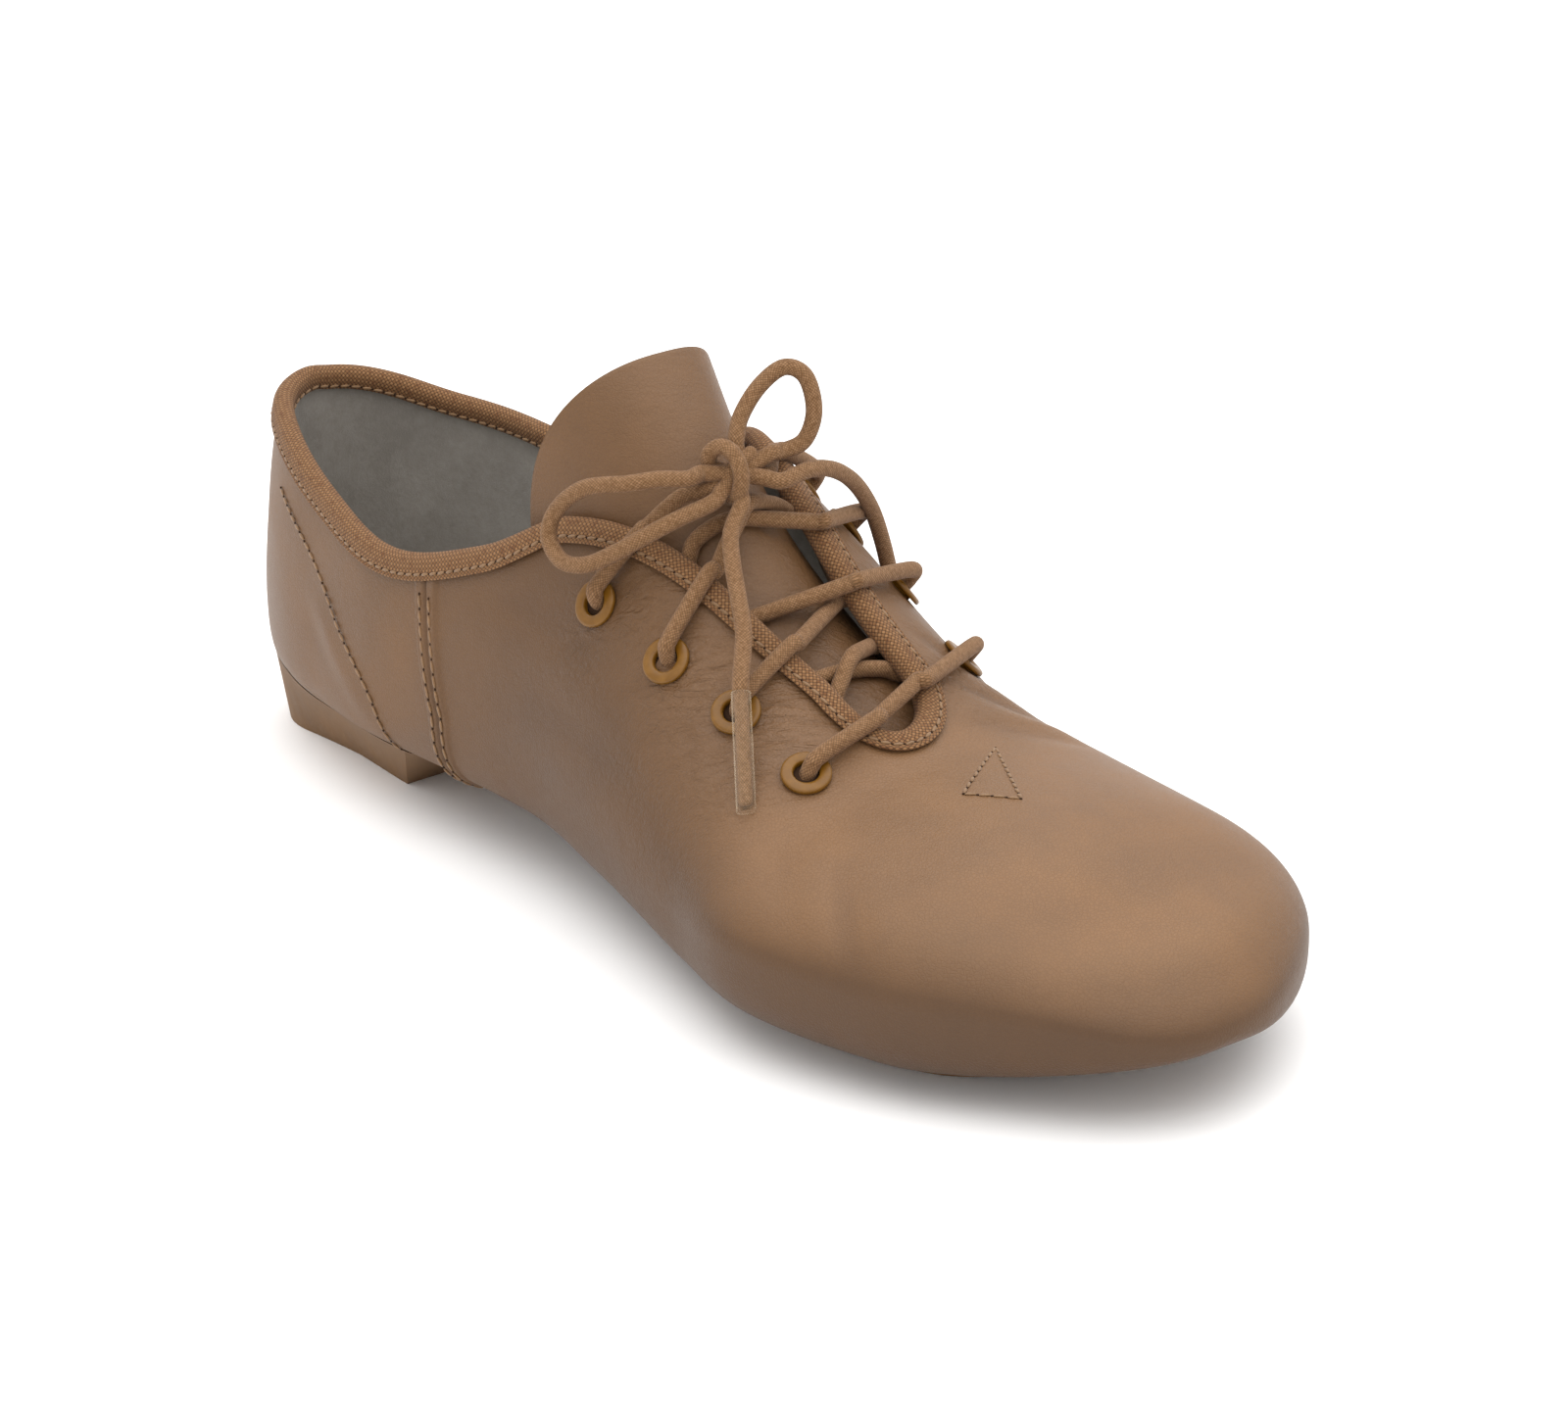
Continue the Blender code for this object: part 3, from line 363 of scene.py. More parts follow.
def tube(route, radius, around=16, tip=0.5):
    # Rings of the cord's radius square to the route, closed at either end by three rings whose
    # radius goes with the cosine and whose push with the sine
    tangent, side, up = framesAlong(route)
    turn = 2 * np.pi * np.arange(around) / around
    ring = np.cos(turn)[None, :, None] * side[:, None] + np.sin(turn)[None, :, None] * up[:, None]
    bend = np.radians([90, 60, 30])
    size = np.concatenate([np.cos(bend), np.ones(len(route)), np.cos(bend)[::-1]])
    index = np.concatenate([[0] * 3, np.arange(len(route)), [len(route) - 1] * 3])
    push = np.concatenate([-np.sin(bend), np.zeros(len(route)), np.sin(bend)[::-1]]) * radius * tip
    points = (route[index][:, None] + tangent[index][:, None] * push[:, None, None]
              + ring[index] * (size * radius)[:, None, None])
    faces, row, column = gridFaces(len(index), around, wrapColumns=True)
    run = distancesAlong(route)[index] + push
    uv = np.stack([run[row] / 1000, column / around], -1)
    return points.reshape(-1, 3), faces, uv


def joined(parts):
    # Several (points, faces, uv) as one, with the faces' indices moved on
    starts = np.cumsum([0] + [len(p) for p, _, _ in parts])
    return (np.concatenate([p for p, _, _ in parts]),
            np.concatenate([f + s for (_, f, _), s in zip(parts, starts)]),
            np.concatenate([u for _, _, u in parts]))


# Helpers for materials
def toLinear(hexColour):
    # An sRGB hex colour as linear light: a straight foot, then the power 2.4
    value = np.array([int(hexColour[i:i + 2], 16) / 255 for i in (1, 3, 5)])
    value = np.where(value <= 0.04045, value / 12.92, ((value + 0.055) / 1.055) ** 2.4)
    return (*value.tolist(), 1.0)


def addNode(tree, kind, settings=None, inputs=None):
    # A node with its settings, and its inputs as plain values or as links from sockets
    node = tree.nodes.new("ShaderNode" + kind)
    for name, value in (settings or {}).items():
        setattr(node, name, value)
    for name, value in (inputs or {}).items():
        if isinstance(value, bpy.types.NodeSocket):
            tree.links.new(value, node.inputs[name])
        else:
            node.inputs[name].default_value = value
    return node


def newMaterial(name, **values):
    # A Principled material with constant values on its own sockets, named with spaces as underscores
    material = bpy.data.materials.new(name)
    material.use_nodes = True
    shader = material.node_tree.nodes["Principled BSDF"]
    for socket, value in values.items():
        shader.inputs[socket.replace("_", " ")].default_value = value
    return material, material.node_tree, shader


def connect(tree, shader, links):
    # Each named socket of the shader to the socket that feeds it
    for name, source in links.items():
        tree.links.new(source, shader.inputs[name])


def mottled(tree, place, size, spread, tones, noiseInputs):
    # Noise of this size in millimetres: what lies between spread's first two values turns the first
    # tone into the second, at most by its third
    noise = addNode(tree, "TexNoise", None, {
        "Vector": place, "Scale": 1000 / size, **noiseInputs}).outputs[0]
    low, high, most = spread
    share = addNode(tree, "MapRange", None, {0: noise, 1: low, 2: high, 4: most}).outputs[0]
    return noise, addNode(tree, "Mix", {"data_type": "RGBA"}, {
        0: share, 6: toLinear(tones[0]), 7: toLinear(tones[1])}).outputs[2]


def crossedYarns(tree, along, across):
    # Sines of along times u plus and minus across times v, multiplied: the product's size is the
    # yarns' height, and its sign says which of the two families lies over
    uv = addNode(tree, "TexCoord").outputs["UV"]
    parts = addNode(tree, "SeparateXYZ", None, {0: uv})
    run = addNode(tree, "Math", {"operation": "MULTIPLY"}, {0: parts.outputs[0], 1: along}).outputs[0]
    waves = []
    for way in (across, -across):
        turn = addNode(tree, "Math", {"operation": "MULTIPLY_ADD"}, {
            0: parts.outputs[1], 1: way, 2: run}).outputs[0]
        waves.append(addNode(tree, "Math", {"operation": "SINE"}, {0: turn}).outputs[0])
    product = addNode(tree, "Math", {"operation": "MULTIPLY"}, {0: waves[0], 1: waves[1]}).outputs[0]
    size = addNode(tree, "Math", {"operation": "ABSOLUTE"}, {0: product}).outputs[0]
    height = addNode(tree, "MapRange", None, {0: size, 1: 0.0, 2: 0.5}).outputs[0]
    return uv, product, height


# Aniline-dyed glove leather, milled soft and lightly glazed: warm tan, pores under a millimetre,
# a low even gloss, a painted highlight on the creases' shoulders and painted shade in their troughs
leatherLook = {
    # trough is painted shade in the creases and also the grain's dark joints, ridge a painted highlight on
    # the creases, under painted shade low down and on steep sides
    "light": "#805D3C", "dark": "#705134", "trough": "#472E1B", "ridge": "#876441", "under": "#341F0A",
    "grain": 0.62, "pore": 0.30, "mottle": 24.0, "buckle": 8.0,    # sizes in millimetres
    "wrinkle": (0.0052, 0.0014, 0.0014), "wrinkleTurn": 52.0,    # metres, degrees
    "roughness": (0.42, 0.53),
    "wrinkleBump": (1.0, 0.0012), "grainBump": (0.34, 0.00012), "poreBump": (0.28, 0.0001),
    "buckleBump": (0.22, 0.0011),    # strength, then depth in metres
}


def glazedLeather(name, look):
    # Two mottled tans, then painted shade in the creases' troughs and a painted highlight on their
    # ridges, painted shade low and on steep sides, and dark joints of the grain; over buckles lie wrinkles,
    # grain and pores
    material, tree, shader = newMaterial(name, IOR=1.39, Coat_Weight=0.03, Coat_Roughness=0.36)
    place = addNode(tree, "TexCoord").outputs["Object"]
    mottle, body = mottled(tree, place, look["mottle"], (0.3, 0.7, 1.0), (look["dark"], look["light"]),
                           {"Detail": 5.0, "Roughness": 0.6})
    marks = {title: addNode(tree, "Attribute", {"attribute_name": title}).outputs["Fac"]
             for title in ("crease", "under", "wrinkle")}
    stretched = addNode(tree, "Mapping", {"vector_type": "TEXTURE"}, {
        "Vector": place, "Rotation": (0.0, 0.0, math.radians(look["wrinkleTurn"])),
        "Scale": look["wrinkle"]}).outputs[0]
    folds = addNode(tree, "TexNoise", None, {
        "Vector": stretched, "Scale": 1.0, "Detail": 3.0, "Roughness": 0.5, "Distortion": 0.7}).outputs[0]
    folds = addNode(tree, "Math", {"operation": "MULTIPLY"}, {0: folds, 1: marks["wrinkle"]}).outputs[0]
    cells = addNode(tree, "TexVoronoi", {"feature": "DISTANCE_TO_EDGE"}, {
        "Vector": place, "Scale": 1000 / look["grain"]}).outputs["Distance"]
    pebble = addNode(tree, "MapRange", None, {0: cells, 1: 0.0, 2: 0.16}).outputs[0]
    pore = addNode(tree, "TexNoise", None, {
        "Vector": place, "Scale": 1000 / look["pore"], "Detail": 2.0}).outputs[0]
    buckle = addNode(tree, "TexNoise", None, {
        "Vector": place, "Scale": 1000 / look["buckle"], "Detail": 4.0, "Roughness": 0.5}).outputs[0]
    # Painted shade in crease troughs, painted highlight on ridges, painted shade by the under mark, then
    # the grain's dark joints
    shares = [(marks["crease"], -0.1, -1.0, 0.0, 0.7, "trough"),
              (marks["crease"], 0.1, 0.9, 0.0, 0.4, "ridge"),
              (marks["under"], 0.0, 1.0, 0.0, 1.0, "under"), (pebble, 0.0, 1.0, 0.16, 0.0, "trough")]
    for source, low, high, least, most, tone in shares:
        share = addNode(tree, "MapRange", None, {0: source, 1: low, 2: high, 3: least, 4: most}).outputs[0]
        body = addNode(tree, "Mix", {"data_type": "RGBA"}, {
            0: share, 6: body, 7: toLinear(look[tone])}).outputs[2]
    smoothest, roughest = look["roughness"]
    gloss = addNode(tree, "MapRange", None, {
        0: mottle, 1: 0.3, 2: 0.7, 3: smoothest, 4: roughest}).outputs[0]
    normal = None
    for height, title in ((buckle, "buckleBump"), (folds, "wrinkleBump"), (pebble, "grainBump"),
                          (pore, "poreBump")):
        strength, depth = look[title]
        bump = addNode(tree, "Bump", None, {"Strength": strength, "Distance": depth, "Height": height})
        if normal:
            tree.links.new(normal, bump.inputs["Normal"])
        normal = bump.outputs[0]
    connect(tree, shader, {"Base Color": body, "Roughness": gloss, "Normal": normal})
    return material


# Brushed split suede lining: grey, matt, with a nap that is lighter where it is rubbed
suedeLook = {"dark": "#837D75", "light": "#98928A", "nap": 1.4, "cloud": 12.0, "bump": (0.6, 0.0003)}


def brushedSuede(name, look):
    # Half the nap's noise added to the clouds picks the tone, and the nap alone stands up
    material, tree, shader = newMaterial(name, Roughness=0.95, Sheen_Weight=0.2, Sheen_Roughness=0.6)
    place = addNode(tree, "TexCoord").outputs["Object"]
    cloud = addNode(tree, "TexNoise", None, {
        "Vector": place, "Scale": 1000 / look["cloud"], "Detail": 6.0, "Roughness": 0.65}).outputs[0]
    nap = addNode(tree, "TexNoise", None, {
        "Vector": place, "Scale": 1000 / look["nap"], "Detail": 5.0, "Roughness": 0.8}).outputs[0]
    both = addNode(tree, "Math", {"operation": "MULTIPLY_ADD"}, {0: nap, 1: 0.5, 2: cloud}).outputs[0]
    spread = addNode(tree, "MapRange", None, {0: both, 1: 0.58, 2: 0.95}).outputs[0]
    colour = addNode(tree, "Mix", {"data_type": "RGBA"}, {
        0: spread, 6: toLinear(look["dark"]), 7: toLinear(look["light"])}).outputs[2]
    strength, depth = look["bump"]
    bump = addNode(tree, "Bump", None, {
        "Strength": strength, "Distance": depth, "Height": nap}).outputs[0]
    connect(tree, shader, {"Base Color": colour, "Normal": bump})
    return material


# Woven viscose tape: golden tan yarns that cross on the bias under a millimetre apart, with rust
# coloured flecks where the darker warp shows between them
braidLook = {
    "yarn": "#7C5736", "shade": "#4C331E", "fleck": "#6B4426", "pale": "#8F6945",
    "yarnSpacing": 0.86, "fleckSize": 1.3, "bump": (0.6, 0.0002),
}


def wovenTape(name, look):
    # The family that lies over is paler, flecks go on both, and the gaps between yarns get painted shade
    material, tree, shader = newMaterial(name, Roughness=0.85, Sheen_Weight=0.05, Sheen_Roughness=0.45,
                                         Specular_IOR_Level=0.3)
    rate = math.pi * 1000 / look["yarnSpacing"]
    uv, product, height = crossedYarns(tree, rate, rate)
    noise = addNode(tree, "TexNoise", None, {
        "Vector": uv, "Scale": 1000 / look["fleckSize"], "Detail": 3.0}).outputs[0]
    over = addNode(tree, "MapRange", None, {0: product, 1: -0.15, 2: 0.15}).outputs[0]
    fleck = addNode(tree, "MapRange", None, {0: noise, 1: 0.52, 2: 0.66, 4: 0.8}).outputs[0]
    body = addNode(tree, "Mix", {"data_type": "RGBA"}, {
        0: over, 6: toLinear(look["yarn"]), 7: toLinear(look["pale"])}).outputs[2]
    body = addNode(tree, "Mix", {"data_type": "RGBA"}, {
        0: fleck, 6: body, 7: toLinear(look["fleck"])}).outputs[2]
    colour = addNode(tree, "Mix", {"data_type": "RGBA"}, {
        0: height, 6: toLinear(look["shade"]), 7: body}).outputs[2]
    strength, depth = look["bump"]
    bump = addNode(tree, "Bump", None, {
        "Strength": strength, "Distance": depth, "Height": height}).outputs[0]
    connect(tree, shader, {"Base Color": colour, "Normal": bump})
    return material


# Round braided cotton cord, waxed: sixteen crossing threads, tan with lighter and rusty flecks
cordLook = {
    "thread": "#846140", "shade": "#5E4329", "fleck": "#957150", "rust": "#6E4C2C",
    "pitch": 1.2, "starts": 8, "fleckSize": 0.55, "bump": (0.5, 0.00018),
}


def braidedCotton(name, look):
    # As many waves round the cord as it has starts, one to each pitch along it, and one noise whose
    # high places are pale flecks and whose low ones are rusty
    material, tree, shader = newMaterial(name, Roughness=0.85, Sheen_Weight=0.06, Sheen_Roughness=0.5,
                                         Specular_IOR_Level=0.3)
    turn = 2 * math.pi
    uv, product, height = crossedYarns(tree, turn * 1000 / look["pitch"], turn * look["starts"])
    place = addNode(tree, "TexCoord").outputs["Object"]
    noise, body = mottled(tree, place, look["fleckSize"], (0.50, 0.62, 0.8),
                          (look["thread"], look["fleck"]), {"Detail": 2.0})
    rust = addNode(tree, "MapRange", None, {0: noise, 1: 0.46, 2: 0.36, 4: 0.8}).outputs[0]
    body = addNode(tree, "Mix", {"data_type": "RGBA"}, {
        0: rust, 6: body, 7: toLinear(look["rust"])}).outputs[2]
    # The gaps between the threads get painted shade
    colour = addNode(tree, "Mix", {"data_type": "RGBA"}, {
        0: height, 6: toLinear(look["shade"]), 7: body}).outputs[2]
    strength, depth = look["bump"]
    bump = addNode(tree, "Bump", None, {
        "Strength": strength, "Distance": depth, "Height": height}).outputs[0]
    connect(tree, shader, {"Base Color": colour, "Normal": bump})
    return material


# Enamelled steel, stamped and stove-dried: mustard brown, soft gloss, slightly worn at the rim
enamelLook = {"colour": "#6C470C", "worn": "#7A5317", "wear": 1.6, "bump": (0.15, 0.0001)}


def stovedEnamel(name, look):
    # One noise gives the worn tone, the change of gloss and the orange peel
    material, tree, shader = newMaterial(name, Coat_Weight=0.10, Coat_Roughness=0.20, IOR=1.38)
    place = addNode(tree, "TexCoord").outputs["Object"]
    noise, colour = mottled(tree, place, look["wear"], (0.4, 0.65, 0.7), (look["colour"], look["worn"]),
                            {"Detail": 4.0})
    gloss = addNode(tree, "MapRange", None, {0: noise, 1: 0.3, 2: 0.7, 3: 0.34, 4: 0.48}).outputs[0]
    strength, depth = look["bump"]
    bump = addNode(tree, "Bump", None, {
        "Strength": strength, "Distance": depth, "Height": noise}).outputs[0]
    connect(tree, shader, {"Base Color": colour, "Roughness": gloss, "Normal": bump})
    return material


# Moulded rubber, buffed: a dull olive tan with a fine sanded tooth
rubberLook = {"light": "#76583A", "dark": "#6A4E32", "cloud": 14.0, "tooth": 0.5, "bump": (0.4, 0.0001)}


def buffedRubber(name, look):
    # Clouds give the tone and the gloss, and a finer noise gives the tooth
    material, tree, shader = newMaterial(name, IOR=1.52, Specular_IOR_Level=0.35)
    place = addNode(tree, "TexCoord").outputs["Object"]
    cloud, colour = mottled(tree, place, look["cloud"], (0.35, 0.65, 1.0), (look["dark"], look["light"]),
                            {"Detail": 5.0})
    tooth = addNode(tree, "TexNoise", None, {
        "Vector": place, "Scale": 1000 / look["tooth"], "Detail": 3.0}).outputs[0]
    gloss = addNode(tree, "MapRange", None, {0: cloud, 1: 0.3, 2: 0.7, 3: 0.60, 4: 0.74}).outputs[0]
    strength, depth = look["bump"]
    bump = addNode(tree, "Bump", None, {
        "Strength": strength, "Distance": depth, "Height": tooth}).outputs[0]
    connect(tree, shader, {"Base Color": colour, "Roughness": gloss, "Normal": bump})
    return material


# Bonded polyester thread, twisted: light tan with a slight lustre. Needle holes beside it are
# painted shade: dark, dull dots where the holes fall in shadow
threadLook = {"dark": "#634627", "light": "#8F6C46", "fleck": 0.7}
holeLook = {"dark": "#24160D", "light": "#3F2A1A", "fleck": 0.6}


def flecked(name, look, **values):
    # One noise turns the dark tone into the light one
    material, tree, shader = newMaterial(name, **values)
    place = addNode(tree, "TexCoord").outputs["Object"]
    noise, colour = mottled(tree, place, look["fleck"], (0.0, 1.0, 1.0), (look["dark"], look["light"]),
                            {"Detail": 2.0})
    connect(tree, shader, {"Base Color": colour})
    return material


# Clear cellulose acetate film, heat-set round the cord: nearly unseen but for its gloss and edges
acetateLook = {"tint": "#DCC8AC", "clear": 0.06, "edge": 0.60}


def clearAcetate(name, look):
    # The more the film turns away from the eye, the more of it shows
    material, tree, shader = newMaterial(name, Base_Color=toLinear(look["tint"]), Roughness=0.14, IOR=1.4)
    away = addNode(tree, "LayerWeight", None, {"Blend": 0.35}).outputs["Facing"]
    seen = addNode(tree, "MapRange", None, {
        0: away, 1: 0.30, 2: 0.80, 3: look["clear"], 4: look["edge"]}).outputs[0]
    connect(tree, shader, {"Alpha": seen})
    return material


leather = glazedLeather("gloveLeatherGlazed", leatherLook)
suede = brushedSuede("splitSuedeBrushed", suedeLook)
braid = wovenTape("viscoseTapeWoven", braidLook)
cotton = braidedCotton("cottonCordBraided", cordLook)
enamel = stovedEnamel("steelEnamelStoved", enamelLook)
rubber = buffedRubber("rubberMouldedBuffed", rubberLook)
thread = flecked("polyesterThreadTwisted", threadLook, Roughness=0.6, Sheen_Weight=0.2)
holeShade = flecked("paintedHoleShade", holeLook, Roughness=0.95, Specular_IOR_Level=0.2)
acetate = clearAcetate("acetateFilmClear", acetateLook)
print("materials made")

# The opening's edge, worked out along both sides, with the wall's normal and the way out of it
edgeLook = {"spacing": 0.55, "rounding": 3.0, "normalRounding": 6.0}


def rolling(values, width):
    # A mean over width places on both sides, round the closed loop, weighted by a raised cosine
    reach = int(width)
    weight = np.hanning(2 * reach + 3)[1:-1]
    padded = np.concatenate([values[-reach:], values, values[:reach]])
    return np.stack([np.convolve(padded[:, k], weight / weight.sum(), "valid") for k in range(3)], -1)


def edgeLoop():
    # Both sides' edges from the back to the throat's end as one closed loop, evenly spaced; the
    # wall's normal is square to it, and the way out is square to both
    sweep = backX + (throatEndX - backX) * (1 - np.cos(np.linspace(0, np.pi, 900))) / 2
    halves = []
    for side in (-1, 1):
        angle = edgeAngle(sweep, side)
        point = lastPoint(sweep, angle, side)
        low = np.clip(angle, 7.0, None)
        across = lastPoint(sweep, low + 2, side) - lastPoint(sweep, low - 2, side)
        along = lastPoint(sweep + 0.5, low, side) - lastPoint(sweep - 0.5, low, side)
        normal = unit(np.cross(along, across))
        normal *= np.sign(np.sum(normal * (point - (length * 0.45, 0, 25)), -1))[:, None]
        halves.append((point, normal))
    edge = np.concatenate([halves[0][0], halves[1][0][-2:0:-1]])
    normal = np.concatenate([halves[0][1], halves[1][1][-2:0:-1]])
    closed = np.concatenate([edge, edge[:1]])
    run = distancesAlong(closed)
    count = int(run[-1] / edgeLook["spacing"])
    at = np.arange(count) * run[-1] / count
    normal = between(at, run, np.concatenate([normal, normal[:1]]))
    edge = rolling(between(at, run, closed), edgeLook["rounding"] / edgeLook["spacing"])
    normal = rolling(normal, edgeLook["normalRounding"] / edgeLook["spacing"])
    along = unit(np.roll(edge, -1, 0) - np.roll(edge, 1, 0))
    normal = unit(normal - along * (normal * along).sum(-1)[:, None])
    out = np.cross(along, normal)
    out *= np.sign((out * (edge - (length * 0.45, 0, 0))).sum(-1).mean())
    return edge, normal, out, at


edge, edgeNormal, edgeOut, edgeRun = edgeLoop()


def edgeFrame(x, side):
    # The throat's edge beside x on one side
    mask = (np.sign(edge[:, 1]) == side) & (edge[:, 0] > 60)
    order = np.argsort(edge[mask][:, 0])
    return [between(x, edge[mask][order, 0], part[mask][order]) for part in (edge, edgeNormal, edgeOut)]


# Eyelets: each pair's stations and depths below the throat's edge, from the toe back
eyelet = {
    "outer": ((0.679, 0.325), (0.615, 0.290), (0.553, 0.310), (0.478, 0.268)),
    "inner": ((0.615, 0.420), (0.556, 0.400), (0.498, 0.360), (0.455, 0.280)),
    "radius": 4.25, "bore": 2.15, "wall": 0.4, "lip": 0.95, "washer": 3.8, "around": 48,
}


def eyeletSeat(x, side, depth):
    # A point this far down the section from the edge, and the last's normal there
    angles = np.linspace(edgeAngle(np.array(x), side), 90, 60)
    line = lastPoint(x, angles, side)
    angle = float(np.interp(depth, distancesAlong(line), angles))
    along = lastPoint(x + 2, angle, side) - lastPoint(x - 2, angle, side)
    across = lastPoint(x, angle + 2, side) - lastPoint(x, angle - 2, side)
    normal = unit(np.cross(along, across))
    return lastPoint(x, angle, side), normal * np.sign(normal[2])


seats = [eyeletSeat(station * length, side, depth * last["ballWidth"] / 2)
         for side, name in ((-1, "outer"), (1, "inner")) for station, depth in eyelet[name]]

# The lace: the same routes as the part's cords, in millimetres, from the knot outwards
lace = {
    "diameter": 2.9, "spacing": 0.45, "gap": 0.3, "aglet": 20.0, "agletDiameter": 3.3,
    "coreSize": 0.84, "coreStart": -0.7, "coreShort": 1.6,    # the cord's end inside its aglet
}
knotCentre, knotSize = np.array((132.2, -4.0, 77.8)), np.array((4.2, 4.0, 4.4))
loopOuter = (
    (129.4, -9.6, 78.4), (130.1, -13.0, 78.4), (128.2, -17.4, 78.9), (124.9, -21.4, 78.2),
    (117.6, -25.2, 76.3), (112.4, -27.2, 71.6), (111.8, -28.7, 67.0), (115.9, -29.2, 63.9),
    (121.0, -28.2, 64.3), (124.9, -26.0, 66.4), (129.4, -22.0, 70.0), (132.0, -17.0, 72.6),
    (132.9, -10.0, 74.2),
)
loopInner = (
    (130.0, -2.4, 82.6), (128.4, 0.0, 86.0), (128.4, 4.0, 90.4), (130.2, 8.0, 93.4),
    (133.0, 10.4, 91.9), (134.9, 10.6, 86.3), (134.6, 8.6, 81.4), (133.4, 4.6, 80.0),
    (133.4, 2.4, 80.2),
)
endOuter = (
    (135.4, -5.6, 73.6), (137.4, -9.6, 70.0), (141.6, -12.7, 66.6), (146.6, -15.5, 62.5),
    (151.6, -18.5, 58.5), (157.0, -23.5, 53.4), (158.1, -24.4, 51.9),
)
endInner = (
    (137.4, 1.6, 76.6), (137.0, 7.0, 77.0), (136.1, 12.0, 76.0), (134.6, 17.0, 73.4),
    (132.6, 22.0, 69.2), (130.4, 26.8, 63.2), (128.8, 30.4, 56.0), (127.8, 33.0, 48.6),
)


def fromKnot(point):
    # Where a cord that runs to this point leaves the knot: on the ellipsoid of its size, and the
    # gap further out
    way = np.array(point) - knotCentre
    return knotCentre + way * (1 / np.linalg.norm(way / knotSize) + lace["gap"] / np.linalg.norm(way))


def addFreeCord(name, route, node, closed):
    # A free cord of the lace, as a tube along its route
    points = [fromKnot(route[0]), *route] + ([fromKnot(route[-1])] if closed else [])
    line = evenly(splinePoints(points), lace["spacing"])
    shape, faces, uv = tube(line, lace["diameter"] / 2)
    piece = addPiece(name, shape, faces, cotton, uv, slotName="cord", replaced=[node])
    run = float(distancesAlong(line)[-1]) / 1000
    way = inMetres(line)
    return piece, line


def addAglet(name, line, node):
    # The clear sleeve over the cord's last stretch, with the cord's own end showing inside it
    way = unit(line[-1] - line[-3])
    start = line[-1] + way * lace["gap"]
    axis = start + way * np.linspace(0, lace["aglet"], 40)[:, None]
    shape, faces, uv = tube(axis, lace["agletDiameter"] / 2, around=24, tip=0.25)
    sleeve = addPiece(name, shape, faces, acetate, uv, slotName="aglet", replaced=[node])
    core = start + way * np.linspace(lace["coreStart"], lace["aglet"] - lace["coreShort"], 40)[:, None]
    shape, faces, uv = tube(core, lace["diameter"] / 2 * lace["coreSize"])
    inside = addPiece(name + "Core", shape, faces, cotton, uv, slotName="cord")
    return sleeve, inside


def endLine(route):
    # An end's route from the knot's face on
    return evenly(splinePoints([fromKnot(route[0]), *route]), lace["spacing"])


agletOuterPieces = addAglet("agletOuter", endLine(endOuter), "aglet_outer")
agletInnerPieces = addAglet("agletInner", endLine(endInner), "aglet_inner")
addFreeCord("laceEndOuter", endOuter, "lace_end_outer", False)
addFreeCord("laceEndInner", endInner, "lace_end_inner", False)
addFreeCord("laceLoopOuter", loopOuter, "lace_loop_outer", True)
addFreeCord("laceLoopInner", loopInner, "lace_loop_inner", True)
print("bow made")

# The tongue's sections, from its end under the vamp to its free end
tongueTable = (
    ("station", "middle", "width", "drop", "lean", "fullness"),
    (0.432, 0.945, 0.452, 0.330, 0.52, 2.7), (0.474, 0.838, 0.392, 0.310, 0.42, 2.3),
    (0.520, 0.708, 0.372, 0.270, 0.20, 2.0), (0.580, 0.548, 0.440, 0.190, 0.05, 2.0),
    (0.640, 0.446, 0.470, 0.120, 0.00, 2.0), (0.700, 0.372, 0.460, 0.060, 0.00, 2.0),
    (0.750, 0.352, 0.380, 0.018, 0.00, 2.0), (0.815, 0.352, 0.300, 0.012, 0.00, 2.0),
)
tongue = {
    "thickness": 1.4, "shift": -1.0, "leaning": 0.76, "rows": 190, "across": 84, "crowding": 0.985,
    "ripple": 0.22, "rippleStart": (0.52, 0.60), "flare": 0.9, "flareReach": 0.022,
    "wrinkle": (0.10, 0.45), "wrinkleStart": (0.50, 0.60), "under": 0.30,
}


def tonguePoint(station, share):
    # A round-shouldered sheet: a quarter superellipse to each side, the middle's height less its drop,
    # leaning back by a share of the whole drop that grows fast at first and then levels out
    table = columnsOf(tongueTable)
    station, share = np.broadcast_arrays(np.asarray(station, float), np.asarray(share, float))
    value = {name: smooth(table["station"], table[name], station) for name in table}
    turn = np.pi / 2 * share
    power = 2 / value["fullness"]
    reach = value["drop"] * last["instepHeight"]
    drop = reach * (1 - np.cos(turn) ** power)
    back = value["lean"] * reach * tongue["leaning"] * (1 - (np.cos(turn) ** power) ** 2.6)
    across = np.sign(turn) * np.abs(np.sin(turn)) ** power
    return np.stack([station * length - back,
                     tongue["shift"] + value["width"] * last["ballWidth"] / 2 * across,
                     value["middle"] * last["instepHeight"] - drop], -1)


def tongueTop(x, y):
    # The tongue's height at places in plan, and how much a lift square to it grows upright: the
    # root of one and the slope squared
    def height(x, y):    # The station whose point comes to x is found in eight steps
        table = columnsOf(tongueTable)
        station = x / length
        for _ in range(8):
            value = {name: smooth(table["station"], table[name], station) for name in ("width", "fullness")}
            across = np.clip((y - tongue["shift"]) / (value["width"] * last["ballWidth"] / 2), -0.97, 0.97)
            share = np.sign(across) * np.arcsin(np.abs(across) ** (value["fullness"] / 2)) / (np.pi / 2)
            point = tonguePoint(station, share)
            station = station + (x - point[..., 0]) / length
        return point[..., 2]

    z = height(x, y)
    slope = np.hypot((height(x + 1, y) - height(x - 1, y)) / 2, (height(x, y + 1) - height(x, y - 1)) / 2)
    return z, np.hypot(1, slope)


